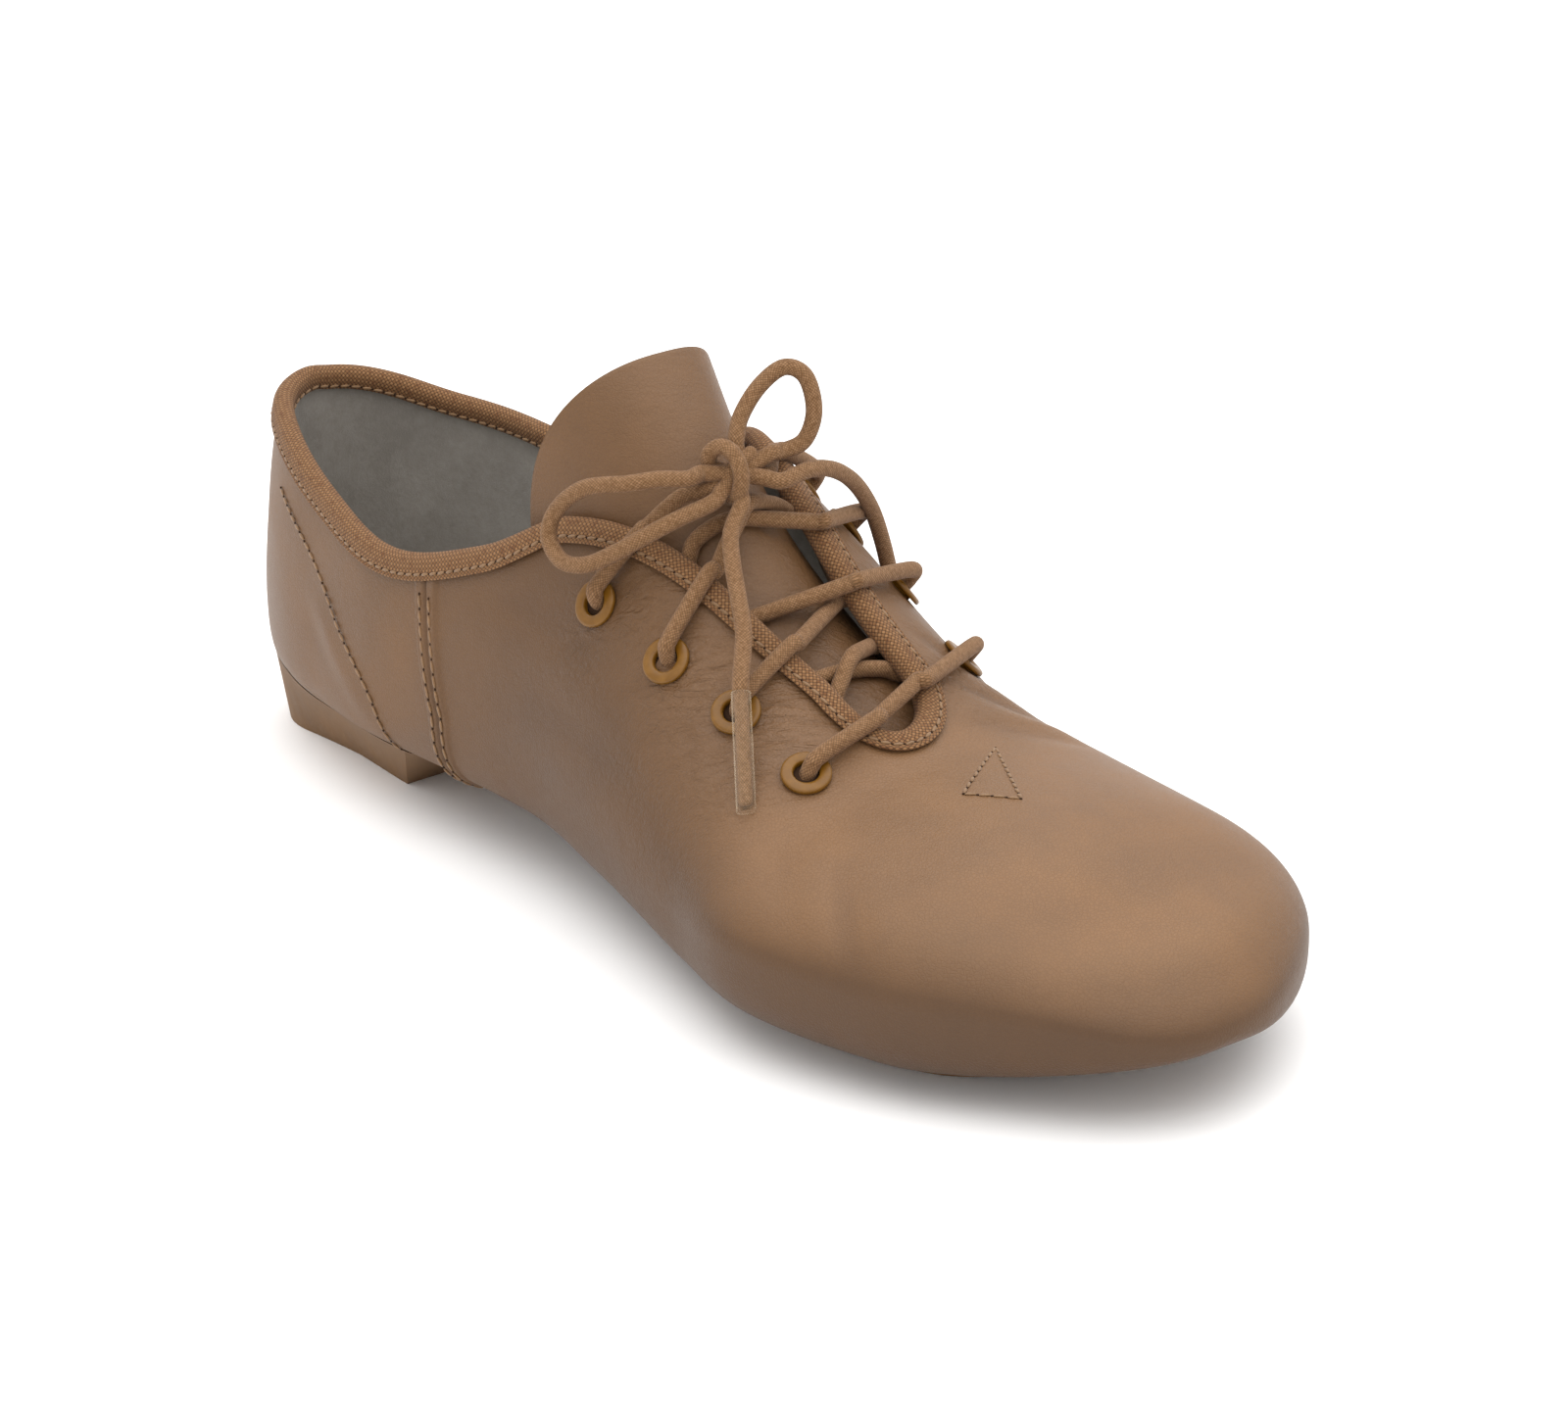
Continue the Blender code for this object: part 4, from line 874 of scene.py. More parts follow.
# The lacing: each strand rises from a hole, bends over its own binding and dives under the other.
# A strand is its own eyelet and side, where it crosses the two edges, and the other eyelet; the
# first of each pair lies over the second, and the front pair comes from inside the shoe
lacing = {
    "pairs": (((0, -1, 163.5, 153.0, 5), (4, 1, 158.5, 156.5, 1)),
              ((5, 1, 145.5, 143.5, 2), (1, -1, 152.0, 144.5, 6)),
              ((2, -1, 135.5, 129.0, 7), (6, 1, 135.0, 129.5, 3))),
    # The rises' eyelet, side, crossing of the edge and aim at the knot
    "rises": ((3, -1, 122.0, (129.8, -8.2, 75.4)), (7, 1, 119.5, (132.5, 2.0, 76.6))),
    "bar": (169.0, 164.5), "bend": {-1: (20, 52), 1: (8, 36)}, "press": 0.1,
    # Steps up a hole's axis and on towards the next point: out of an outer or inner hole, and back
    "outOf": {-1: ((-3.2, -0.2), (-0.6, 0.2), (1.7, 1.3), (2.5, 3.6)),
              1: ((-3.2, 0.0), (-0.4, -0.1), (2.6, 0.9), (3.6, 4.2))},
    "into": ((-4.4, 2.4), (-3.0, 0.0), (-0.4, 0.0)),
    "lift": 1.6, "over": 2.75, "near": 1.3, "dive": 3.3, "free": (0.04, 0.93), "points": 49, "pulls": 1500,
}
bindingSize = {"thickness": 0.7, "flange": 2.7, "inner": 1.8, "groove": 1.15, "clearance": 0.25}


def overBinding(x, side, angles):
    # Round the binding's roll at these angles: reach times the cosine out of the wall's face and
    # times the sine past its edge
    point, normal, out = edgeFrame(x, side)
    centre = point - normal * last["wall"] / 2 + out * last["gap"]
    reach = (last["wall"] / 2 + last["gap"] + bindingSize["clearance"] + bindingSize["thickness"]
             + lace["diameter"] / 2 - lacing["press"])
    return [centre + reach * (normal * math.cos(t) + out * math.sin(t)) for t in np.radians(angles)]


def stepsFrom(seat, normal, way, steps):
    # The seat plus each step's first value times the normal and its second times the way
    return [seat + normal * up + way * on for up, on in steps]


def outOfHole(index, towards):
    # Up through the eyelet and over the side of its lip towards the next point
    seat, normal = seats[index]
    way = np.array(towards) - seat
    way = unit(way - normal * (way @ normal))
    return stepsFrom(seat, normal, way, lacing["outOf"][1 if index > 3 else -1])


def tautOver(first, second, crossed=None):
    # A straight run, pulled up where the tongue or the strand that it crosses is higher: each
    # height is the mean of its neighbours, never under its least, until it stands still
    t = np.linspace(0, 1, lacing["points"])
    line = first + (second - first) * t[:, None]
    z, grow = tongueTop(line[:, 0], line[:, 1])
    low, high = lacing["free"]
    least = np.where((t > low) & (t < high), z + lacing["lift"] * grow, -99.0)
    if crossed is not None:
        apart = np.linalg.norm(line[:, None, :2] - crossed[None, :, :2], axis=-1)
        over = np.maximum(least, crossed[apart.argmin(1), 2] + lacing["over"])
        least = np.where(apart.min(1) < lacing["near"], over, least)
    height = line[:, 2].copy()
    for _ in range(lacing["pulls"]):
        height[1:-1] = np.maximum(least[1:-1], (height[:-2] + height[2:]) / 2)
    return np.column_stack([line[:, :2], height])


def strandRoute(strand, crossed=None):
    # Out of its own hole, round the edge, taut over the throat, under the other edge to its hole
    own, side, ownX, farX, other = strand
    point, normal, out = edgeFrame(farX, -side)
    dive = point - normal * lacing["dive"] - out * 0.6
    if own in (0, 4):    # The front pair's strands come from inside the shoe
        seat, face = seats[own]
        edgePoint, edgeFace, edgeWay = edgeFrame(ownX, side)
        start = [seat - face * 0.4, seat - face * 4.0, edgePoint - edgeFace * 3.8 - edgeWay * 1.5]
    else:
        bend = overBinding(ownX, side, lacing["bend"][side])
        start = [*outOfHole(own, bend[0]), *bend]
    run = tautOver(start[-1], dive, crossed)
    seat, face = seats[other]
    way = unit(dive - seat)
    return [*start, *run[7:-4:6], dive, *stepsFrom(seat, face, way, lacing["into"])], run


def addStrands(name, routes, nodes):
    # Several strands of the lace as one piece, each a tube along its own route
    parts = [tube(evenly(splinePoints(route), lace["spacing"]), lace["diameter"] / 2) for route in routes]
    shape, faces, uv = joined(parts)
    return addPiece(name, shape, faces, cotton, uv, slotName="cord", replaced=nodes)


# The knot's own turns: right, up and out from its middle, seen square to the bow
knotTurns = (
    ((-3.0, 0.8, -1.4), (-4.6, 1.7, -0.4), (-4.6, 3.3, 0.6), (-3.1, 4.4, 1.7), (-1.3, 3.9, 2.8),
     (0.1, 1.9, 3.5), (0.7, -0.6, 3.3), (0.4, -3.0, 2.0), (-0.6, -3.7, -0.2), (-1.4, -1.6, -2.2),
     (-1.4, 1.2, -1.6)),
    ((2.6, 3.4, -1.0), (0.4, 1.8, 0.4), (-1.6, -1.0, 0.6), (-0.6, -3.0, 0.2)),
)
knotFrame = np.array(((0.613, 0.790, 0.0), (-0.303, 0.235, 0.923), (0.729, -0.566, 0.384)))


def makeLacing():
    # The bar over the front pair, three crossings, two rises to the knot, and the knot's own turns
    outer = overBinding(lacing["bar"][0], -1, lacing["bend"][-1])
    inner = overBinding(lacing["bar"][1], 1, lacing["bend"][1][::-1])
    run = tautOver(outer[-1], inner[0])
    ends = outOfHole(0, outer[0]), outOfHole(4, inner[-1])[::-1]
    addStrands("laceBar", [[*ends[0], *outer, *run[8:-7:8], *inner, *ends[1]]], ["lace_bar"])
    for index, (upperStrand, lowerStrand) in enumerate(lacing["pairs"], 1):
        route, run = strandRoute(lowerStrand)
        addStrands("laceCrossing%d" % index, [route, strandRoute(upperStrand, run)[0]],
                   ["lace_crossing_%d" % index])
    rises = []
    for index, side, x, aim in lacing["rises"]:
        bend = overBinding(x, side, lacing["bend"][side])
        middle = bend[-1] * 0.45 + np.array(aim) * 0.55 + (0, 0, 1.6)
        rises.append([*outOfHole(index, bend[0]), *bend, middle, aim, knotCentre])
    addStrands("laceRises", rises, [])
    # The bow's six strands run on into the knot, under its turns
    inward = []
    for point in (loopOuter[0], loopOuter[-1], loopInner[0], loopInner[-1], endOuter[0], endInner[0]):
        start = fromKnot(point)
        inward.append([np.array(point) * 0.2 + start * 0.8, start, start * 0.5 + knotCentre * 0.5,
                       knotCentre])
    turns = [knotCentre + np.array(turn) @ knotFrame for turn in knotTurns]
    addStrands("laceKnot", [*turns, *inward], ["lace_knot"])


makeLacing()
print("lacing made")


def addWall(piece, thickness, rim):
    # The sheet's thickness inwards, with the second material inside and on the rim where it says so
    wall = piece.modifiers.new("wall", "SOLIDIFY")
    wall.thickness = thickness / 1000
    wall.offset = -1
    wall.use_rim = True
    wall.material_offset = 1
    wall.material_offset_rim = rim


# The upper: rows from heel to toe, dense at the ends of the openings and over the side seam
upper = {
    "heelRows": 10, "collarRows": 96, "throatRows": 84, "toeRows": 72, "seamRows": 33,
    "above": 42, "below": 36,
    "seamAt": 0.303, "seamWidth": 4.4, "seamStep": 0.5, "seamRamp": 0.8, "seamLean": 6.4, "leanReach": 28.0,
    "seamDense": 4.0, "grooveDepth": 0.6, "grooveWidth": 0.38,
    # Painted shade towards the feather line and where the sides stand steep
    "featherShadeStrength": 0.30, "featherHeight": (4.0, 30.0), "featherStart": (55.0, 115.0),
    "steepShadeStrength": 0.60, "steepSlope": (0.96, 0.40), "steepAtHeel": 0.50, "steepStart": (60.0, 120.0),
}


def upperRows():
    # Stations along the last: quarter cosines at the heel, powers to the corner and the throat's
    # end, a quarter sine at the toe, and even rows across the side seam
    turn = np.pi / 2
    seam = upper["seamAt"] * length
    heel = backX * (1 - np.cos(np.linspace(0, turn, upper["heelRows"])))
    collar = backX + (cornerX - backX) * np.linspace(0, 1, upper["collarRows"]) ** 1.5
    throat = cornerX + (throatEndX - cornerX) * (1 - (1 - np.linspace(0, 1, upper["throatRows"])) ** 1.8)
    toe = throatEndX + (length - throatEndX) * np.sin(np.linspace(0, turn, upper["toeRows"]))
    rows = np.concatenate([heel, collar, throat, toe])
    rows = rows[np.abs(rows - seam) > upper["seamDense"] + 0.2]
    across = np.linspace(-upper["seamDense"], upper["seamDense"], upper["seamRows"])
    return np.unique(np.round(np.concatenate([rows, seam + across]), 6))


def softStep(value, low=0.0, high=1.0):
    # From 0 at low to 1 at high by three squares less two cubes
    value = np.clip((value - low) / (high - low), 0, 1)
    return value * value * (3 - 2 * value)


def seamLean(x, angle, edgeAt):
    # How far a row near the side seam leans forwards: a parabola's square of its distance to the
    # seam, times the share of the way down to the widest place
    window = np.clip(1 - ((x - upper["seamAt"] * length) / upper["leanReach"]) ** 2, 0, 1) ** 2
    return upper["seamLean"] * window * np.clip((angle - edgeAt) / (90 - edgeAt), 0, 1)


def distanceTo(points, path):
    # The least distance from each point to the path's stretches, and the share of its run there
    a, way = path[:-1], np.diff(path, axis=0)
    share = np.clip(((points[:, None] - a) * way).sum(-1) / (way * way).sum(-1), 0, 1)
    gap = np.linalg.norm(points[:, None] - a - share[..., None] * way, axis=-1)
    best = gap.argmin(1)
    pick = np.arange(len(points))
    return gap[pick, best], (best + share[pick, best]) / len(way)


# Folds: depth (a ridge is negative), width, then the places that the fold runs through
folds = (
    (0.40, 1.2, (131.0, -31.0, 44.0), (136.5, -28.0, 47.2), (143.0, -25.0, 48.8), (149.0, -20.5, 49.6)),
    (0.36, 1.3, (139.0, -33.0, 38.5), (146.5, -30.0, 41.5), (153.0, -26.5, 43.0), (158.5, -24.0, 43.6)),
    (0.34, 1.1, (144.0, -21.8, 50.6), (148.5, -19.0, 51.6), (152.5, -16.4, 50.8)),
    (0.42, 1.1, (152.5, -25.5, 43.8), (156.6, -21.9, 44.6), (159.5, -17.5, 45.4), (163.2, -13.6, 44.8),
     (166.0, -11.6, 43.7)),
    (0.40, 1.0, (157.0, -25.5, 42.2), (160.4, -22.7, 42.5), (162.3, -18.2, 43.8), (165.1, -14.2, 43.6)),
    (0.36, 1.1, (150.5, -23.5, 46.0), (154.7, -19.8, 46.6), (156.6, -16.2, 47.4), (159.5, -13.5, 46.8)),
    (0.30, 1.0, (163.0, -24.5, 41.0), (165.5, -20.5, 41.8), (167.5, -16.5, 42.2), (169.5, -13.0, 42.0)),
    (0.32, 1.1, (120.0, -24.0, 57.0), (123.5, -21.6, 59.3), (127.5, -18.3, 61.6), (133.4, -14.9, 61.7)),
    (0.36, 1.2, (125.5, -25.5, 53.0), (129.4, -23.9, 54.4), (134.3, -20.3, 56.6), (139.2, -18.1, 56.1)),
    (0.34, 1.3, (127.5, -25.4, 53.2), (123.5, -26.6, 51.6), (117.6, -28.4, 48.2), (111.0, -29.5, 45.5)),
    (0.30, 1.2, (140.5, -25.8, 48.6), (145.0, -22.0, 50.0), (148.5, -17.5, 51.5), (151.5, -14.5, 51.0)),
    (0.34, 1.8, (132.4, -28.8, 46.4), (143.1, -26.5, 46.6), (150.9, -22.5, 46.8)),
    (0.34, 1.8, (149.9, -29.6, 41.0), (160.4, -27.7, 39.5), (167.0, -25.1, 38.8)),
    (0.55, 3.4, (186.6, -28.5, 33.6), (197.4, -34.9, 29.1), (206.7, -39.5, 22.0)),
    (0.40, 3.2, (176.1, -30.0, 34.0), (184.0, -36.7, 30.2), (192.5, -42.0, 24.7)),
    (0.40, 4.5, (93.4, -28.7, 48.7), (109.8, -27.8, 49.7), (131.4, -27.4, 48.8)),
    (0.45, 5.0, (102.0, -30.9, 37.5), (127.5, -33.4, 35.1), (160.4, -37.9, 29.5)),
    (-0.60, 3.0, (40.0, -31.0, 36.0), (45.6, -32.4, 31.8), (55.0, -33.8, 23.9), (62.0, -33.5, 17.6)),
    (0.30, 3.4, (106.9, -25.6, 55.4), (98.2, -27.6, 51.4), (87.7, -28.7, 50.6)),
    (-0.75, 6.0, (205.0, -33.5, 28.0), (221.8, -25.9, 26.6), (232.0, -17.0, 26.1), (238.4, -2.1, 26.9),
     (235.4, 15.4, 27.4), (223.6, 33.3, 26.4)),
    # The far side's folds, which stand out along its outline, and the inner side's own
    (0.95, 2.3, (152.0, 16.5, 50.5), (155.0, 22.0, 46.0), (157.6, 27.5, 39.5), (159.0, 31.5, 32.0)),
    (1.00, 2.4, (162.0, 16.0, 45.0), (165.1, 22.6, 40.9), (168.0, 29.0, 35.0), (170.0, 33.5, 28.0)),
    (0.80, 2.6, (172.0, 11.0, 41.0), (174.0, 20.0, 38.5), (176.5, 29.0, 33.5), (179.0, 35.5, 26.0)),
    (0.60, 3.2, (150.0, 30.5, 36.0), (165.0, 34.0, 30.0), (180.0, 38.0, 25.0)),
    (0.45, 4.0, (95.0, 27.5, 50.0), (112.0, 28.5, 46.0), (132.0, 31.0, 40.0)),
    (-0.50, 3.0, (40.0, 27.5, 36.0), (48.0, 28.8, 29.0), (58.0, 29.5, 20.0)),
)
# Where fine wrinkles gather: centre, reach and strength
wrinkled = (
    ((159.0, -17.0, 44.8), 10.0, 1.0), ((131.0, -20.0, 57.0), 11.0, 0.85),
    ((144.0, -24.0, 48.5), 12.0, 1.0),
    ((120.0, -27.0, 51.0), 11.0, 0.6), ((160.0, -28.0, 38.5), 13.0, 0.7), ((150.0, -31.0, 38.0), 18.0, 0.5),
    ((160.0, 22.0, 43.0), 12.0, 0.7), ((135.0, 22.0, 55.0), 12.0, 0.6), ((185.0, 0.0, 38.0), 18.0, 0.16),
    ((110.0, -30.0, 40.0), 26.0, 0.14), ((60.0, -32.0, 35.0), 24.0, 0.08),
)


def foldRelief(points):
    # Each fold is a bell-shaped trough of its depth and width, less a bell 2.3 times as wide and
    # 0.45 as high, which leaves soft shoulders, fading out by a sine towards its ends
    total = np.zeros(len(points))
    for depth, width, *places in folds:
        path = splinePoints(places, 5)
        near = np.linalg.norm(points - path.mean(0), axis=1) < 60 + 5 * width
        gap, share = distanceTo(points[near], path)
        fade = np.sin(np.pi * np.clip(share, 0.02, 0.98)) ** 0.6
        shoulders = 0.45 * np.exp(-(gap / (2.3 * width)) ** 2)
        total[near] += depth * fade * (shoulders - np.exp(-(gap / width) ** 2))
    x, y, z = points.T    # Under the folds, a low sway: sines over 9 to 17 mm, bent by one another
    sway = np.sin(x / 11.0 + 1.7 * np.sin(z / 13.0)) * np.sin(z / 9.0 + 1.3 * np.sin(x / 17.0) + y / 15.0)
    return total + 0.16 * sway


def wrinkleMark(points):
    # The strongest of bells round the centres, over a little everywhere
    total = np.full(len(points), 0.03)
    for centre, reach, strength in wrinkled:
        away = np.linalg.norm(points - np.array(centre), axis=1) / reach
        total = np.maximum(total, strength * np.exp(-away**2))
    return total


def upperGrid(rows):
    # Each row runs from one edge down its side, over the keel and up the other, with its angle
    shares = np.linspace(0, 1, upper["above"])
    below = np.linspace(90, 180, upper["below"] + 1)[1:]
    sides = []
    for side in (-1, 1):
        start = edgeAngle(rows, side)[:, None]
        under = np.broadcast_to(below, (len(rows), len(below)))
        angles = np.concatenate([start + shares * (90 - start), under], 1)
        sides.append(lastPoint(rows[:, None] + seamLean(rows[:, None], angles, start), angles, side))
    keel = lastPoint(rows + seamLean(rows, last["keel"], 0), last["keel"], 1)[:, None]
    return np.concatenate([sides[0], keel, sides[1][:, ::-1]], 1)


def outwardNormals(grid, shut):
    # The cross product of the grid's own directions, away from the last's middle; rows that close
    # over the ridge have one normal there, the mean of both sides
    normal = unit(np.cross(np.gradient(grid, axis=1), np.gradient(grid, axis=0)))
    x = grid[..., 0]
    normal *= np.sign((normal * (grid - np.stack([x, 0 * x, 0 * x + 20], -1))).sum())
    ridge = unit(normal[shut, 0] + normal[shut, -1])
    normal[shut, 0], normal[shut, -1] = ridge, ridge
    return normal


def makeUpper():
    # The last, moved along its normals by the seam's strip and grooves and by the folds, with a wall
    rows = upperRows()
    grid = upperGrid(rows)
    normal = outwardNormals(grid, edgeAngle(rows, -1) == 0)
    off = np.abs(rows - upper["seamAt"] * length)[:, None]
    half = upper["seamWidth"] / 2
    strip = upper["seamStep"] * (1 - softStep(off, half, half + upper["seamRamp"]))
    groove = -upper["grooveDepth"] * np.exp(-(off / upper["grooveWidth"]) ** 2)
    folds = foldRelief(grid.reshape(-1, 3)).reshape(grid.shape[:2])
    grid = grid + normal * (strip + groove + folds)[..., None]
    # Painted shade: darker towards the feather line and where the sides stand steep
    x, z = grid[..., 0], grid[..., 2]
    feather = upper["featherShadeStrength"] * (1 - softStep(z, *upper["featherHeight"]))
    feather *= softStep(x, *upper["featherStart"])
    flat, upright = upper["steepSlope"]
    steep = np.clip((flat - normal[..., 2]) / (flat - upright), 0, 1)
    steep *= upper["steepAtHeel"] + (1 - upper["steepAtHeel"]) * softStep(x, *upper["steepStart"])
    # crease carries painted shade in troughs and a painted highlight on ridges, under the painted shade
    # below and on steep sides
    marks = {"crease": folds + groove, "wrinkle": wrinkleMark(grid.reshape(-1, 3)),
             "under": 1 - (1 - feather) * (1 - upper["steepShadeStrength"] * steep)}
    piece = addPiece("upperShell", grid, gridFaces(*grid.shape[:2])[0], [leather, suede],
                     slotName="leather", replaced=["upper"], marks=marks)
    addWall(piece, last["wall"], 1)


makeUpper()
print("upper made")


def bindingProfile():
    # Places out of the wall's face and past its edge: down the outer flange to its turned-in end and
    # the stitch groove, half a circle round the edge, and the inner flange
    near = last["gap"] + bindingSize["clearance"]
    far = -last["wall"] - near
    thick, flange, inner = (bindingSize[name] for name in ("thickness", "flange", "inner"))
    radius = near + last["wall"] / 2 + thick
    turn = np.radians(np.linspace(0, 180, 17))
    roll = np.stack([-last["wall"] / 2 + radius * np.cos(turn), last["gap"] + radius * np.sin(turn)], -1)
    outerFace = [(near, last["gap"]), (near, 0.2 - flange), (near + 0.15, -flange),
                 (near + thick * 0.6, -flange), (near + thick * 0.85, 0.3 - flange),
                 (near + thick * 0.7, 0.9 - flange),
                 (near + thick * 0.62, bindingSize["groove"] - flange), (near + thick, 1.6 - flange)]
    innerFace = [(far - thick, 0.2 - inner), (far - thick * 0.5, -inner), (far, -inner), (far, last["gap"])]
    profile = np.array([*outerFace, *roll, *innerFace])
    return profile, distancesAlong(np.vstack([profile, profile[:1]]))


def makeBinding():
    # The profile carried round the edge, its UV the run along the edge and round the tape
    profile, around = bindingProfile()
    shape = (edge[:, None] + profile[None, :, :1] * edgeNormal[:, None]
             + profile[None, :, 1:] * edgeOut[:, None])
    faces, row, column = gridFaces(len(edge), len(profile), True, True)
    along = np.append(edgeRun, edgeRun[-1] + edgeLook["spacing"])
    uv = np.stack([along[row] / 1000, around[column] / 1000], -1)
    addPiece("bindingBraid", shape, faces, braid, uv, slotName="braid", replaced=["binding"])


makeBinding()
print("binding made")


def makeTongue():
    # The sheet's grid, crowded towards its sides by a sine, with ripples like the throat's wrinkles
    # and its free end's sides turned in by a bell times the share squared
    table = columnsOf(tongueTable)
    rows = np.linspace(table["station"][0], table["station"][-1], tongue["rows"])[:, None]
    quarter = np.pi / 2 * tongue["crowding"]
    shares = np.sin(np.linspace(-1, 1, tongue["across"]) * quarter) / np.sin(quarter)
    grid = tonguePoint(rows, shares)
    normal = unit(np.cross(np.gradient(grid, axis=1), np.gradient(grid, axis=0)))
    normal *= np.sign(normal[..., 2].sum())

    def ramp(values):    # From 0 to 1 between two stations
        return np.clip((rows - values[0]) / (values[1] - values[0]), 0, 1)

    down = (rows - rows[0]) * length + 3 * shares**2
    ripple = tongue["ripple"] * np.sin(down / 3.1 + 1.2 * np.sin(down / 8)) * ramp(tongue["rippleStart"])
    flare = -tongue["flare"] * np.exp(-((rows - rows[0]) / tongue["flareReach"]) ** 2)
    least, most = tongue["wrinkle"]
    wrinkles = least + (most - least) * ramp(tongue["wrinkleStart"])
    # The ripples take the crease mark's painted shade and painted highlight, and the under mark darkens the
    # whole tongue evenly by 0.30
    marks = {"crease": ripple, "wrinkle": wrinkles + 0 * shares, "under": tongue["under"] + 0 * ripple}
    grid = grid + normal * (ripple + flare * shares**2)[..., None]
    piece = addPiece("tongueSheet", grid, gridFaces(*grid.shape[:2])[0], [leather, suede], facing=(0, 0, 1),
                     slotName="leather", replaced=["tongue"], marks=marks)
    addWall(piece, tongue["thickness"], 0)


makeTongue()
print("tongue made")


def turned(profile, around, seat, normal):
    # A profile of (radius, height) carried round an axis along the normal
    ref = np.array((1.0, 0.0, 0.0))
    first = unit(ref - normal * (ref @ normal))
    second = np.cross(normal, first)
    turn = 2 * np.pi * np.arange(around) / around
    ring = np.cos(turn)[None, :, None] * first + np.sin(turn)[None, :, None] * second
    points = seat + profile[:, :1, None] * ring + profile[:, 1:, None] * normal
    faces, row, column = gridFaces(len(profile), around, True, True)
    return points.reshape(-1, 3), faces, np.stack([row, column], -1).astype(float)


def eyeletProfile():
    # Places out from the axis and up: the rolled lip, half round but squarer, and the washer inside
    bore, radius, gap = eyelet["bore"], eyelet["radius"], last["gap"]
    bend = np.radians(np.linspace(0, 180, 13))
    across = np.sign(np.cos(bend)) * np.abs(np.cos(bend)) ** 0.8
    roll = np.stack([(bore + radius) / 2 + (radius - bore) / 2 * across,
                     gap + 0.12 + (eyelet["lip"] - 0.12) * np.sin(bend) ** 0.45], -1)
    inside, washer = -last["wall"] - 1.0, eyelet["washer"]
    under = [(bore, inside - 0.5), (bore + 0.3, inside - 0.75), (washer - 0.2, inside - 0.6),
             (washer, inside - 0.2), (washer - 0.2, inside), (bore + eyelet["wall"], inside),
             (bore + eyelet["wall"], gap)]
    return np.vstack([[(radius - 0.25, gap)], roll, under])


def makeEyelets():
    # Eight rings, and painted shade in the bores as a dark disc inside each ring, all in one piece
    profile = eyeletProfile()
    for index, (seat, normal) in enumerate(seats):
        side, number = ("outer", "inner")[index // 4], index % 4 + 1
        shape, faces, uv = turned(profile, eyelet["around"], seat, normal)
        addPiece("eyelet%s%d" % (side.capitalize(), number), shape, faces, enamel, uv, slotName="enamel",
                 replaced=["eyelet_%s_%d" % (side, number)])
    # Each disc is painted shade, dark where the bore falls into shadow
    across = (0.001, eyelet["bore"] * 0.6, eyelet["bore"] + 0.1)
    disc = np.array([*((x, 0.16) for x in across), *((x, -0.4) for x in across[::-1])])
    shape, faces, uv = joined([turned(disc, 32, seat, normal) for seat, normal in seats])
    addPiece("eyeletBores", shape, faces, holeShade, uv, slotName="leather")


makeEyelets()
print("eyelets made")

# Insole, forefoot sole and heel: ends as shares of the length, widths as shares of the last's
insole = {"ends": (0.032, 0.962), "width": 0.60, "thickness": 1.6}
forefootSole = {"ends": (0.560, 0.900), "width": 0.66, "rise": 0.45, "clearance": 0.1, "edge": 0.5}
heel = {
    "topEnds": (0.014, 0.262), "topWidth": 0.86, "topCorner": 0.70,
    "baseEnds": (0.012, 0.212), "baseWidth": 0.60, "baseCorner": 0.45, "clearance": -0.25, "edge": 0.8,
}


def slab(top, bottom):
    # A closed solid between two grids of one size: both faces, and quads round their rims
    rows, across = top.shape[:2]
    count = rows * across
    faces, row, column = gridFaces(rows, across)
    index = np.arange(count).reshape(rows, across)
    rim = np.concatenate([index[:, 0], index[-1, 1:], index[-2::-1, -1], index[0, -2:0:-1]])
    after = np.roll(rim, -1)
    sides = np.stack([rim, rim + count, after + count, after], -1)
    return (np.concatenate([top.reshape(-1, 3), bottom.reshape(-1, 3)]),
            np.concatenate([faces[:, ::-1], faces + count, sides[:, ::-1]]))


def soften(piece, width, segments=3):
    # The sharp edges rounded to this width
    bevel = piece.modifiers.new("edges", "BEVEL")
    bevel.width = width / 1000
    bevel.segments = segments
    bevel.angle_limit = math.radians(38)
    bevel.harden_normals = False


def patch(ends, width, backRound, frontRound, count, inset):
    # The last's underside between two ends, as wide as its share, closed by a round end at both
    low, high = ends[0] * length, ends[1] * length
    rows = low + (high - low) * (1 - np.cos(np.linspace(0, np.pi, count))) / 2
    reach = np.maximum(closing((rows - low) / backRound) * closing((high - rows) / frontRound), 0.06)
    return underside(rows[:, None], width * reach[:, None] * np.linspace(-1, 1, 41), inset)


def makeInsole():
    # The underside, set in by the wall and its gaps, and the same surface raised by the thickness
    inset = last["wall"] + 2 * last["gap"]
    bottom = patch(insole["ends"], insole["width"], last["heelRound"] / 2, last["toeRound"] / 2, 110, inset)
    shape, faces = slab(bottom + (0, 0, insole["thickness"]), bottom)
    addPiece("insoleSuede", shape, faces, suede, slotName="suede", replaced=["insole"])


def makeForefootSole():
    # The underside less the gap, over a lower face that rises less to its sides
    corner = last["toeRound"] * 0.8
    top = patch(forefootSole["ends"], forefootSole["width"], corner, corner, 90, 0.0)
    top[..., 2] -= last["gap"] + forefootSole["clearance"]
    keel = top[:, top.shape[1] // 2, 2][:, None]
    bottom = top.copy()
    bottom[..., 2] = (keel + forefootSole["clearance"] - last["soleThickness"]
                      + forefootSole["rise"] * (top[..., 2] - keel))
    shape, faces = slab(top, bottom)
    piece = addPiece("forefootSole", shape, faces, rubber, slotName="rubber", replaced=["forefoot_sole"])
    soften(piece, forefootSole["edge"])


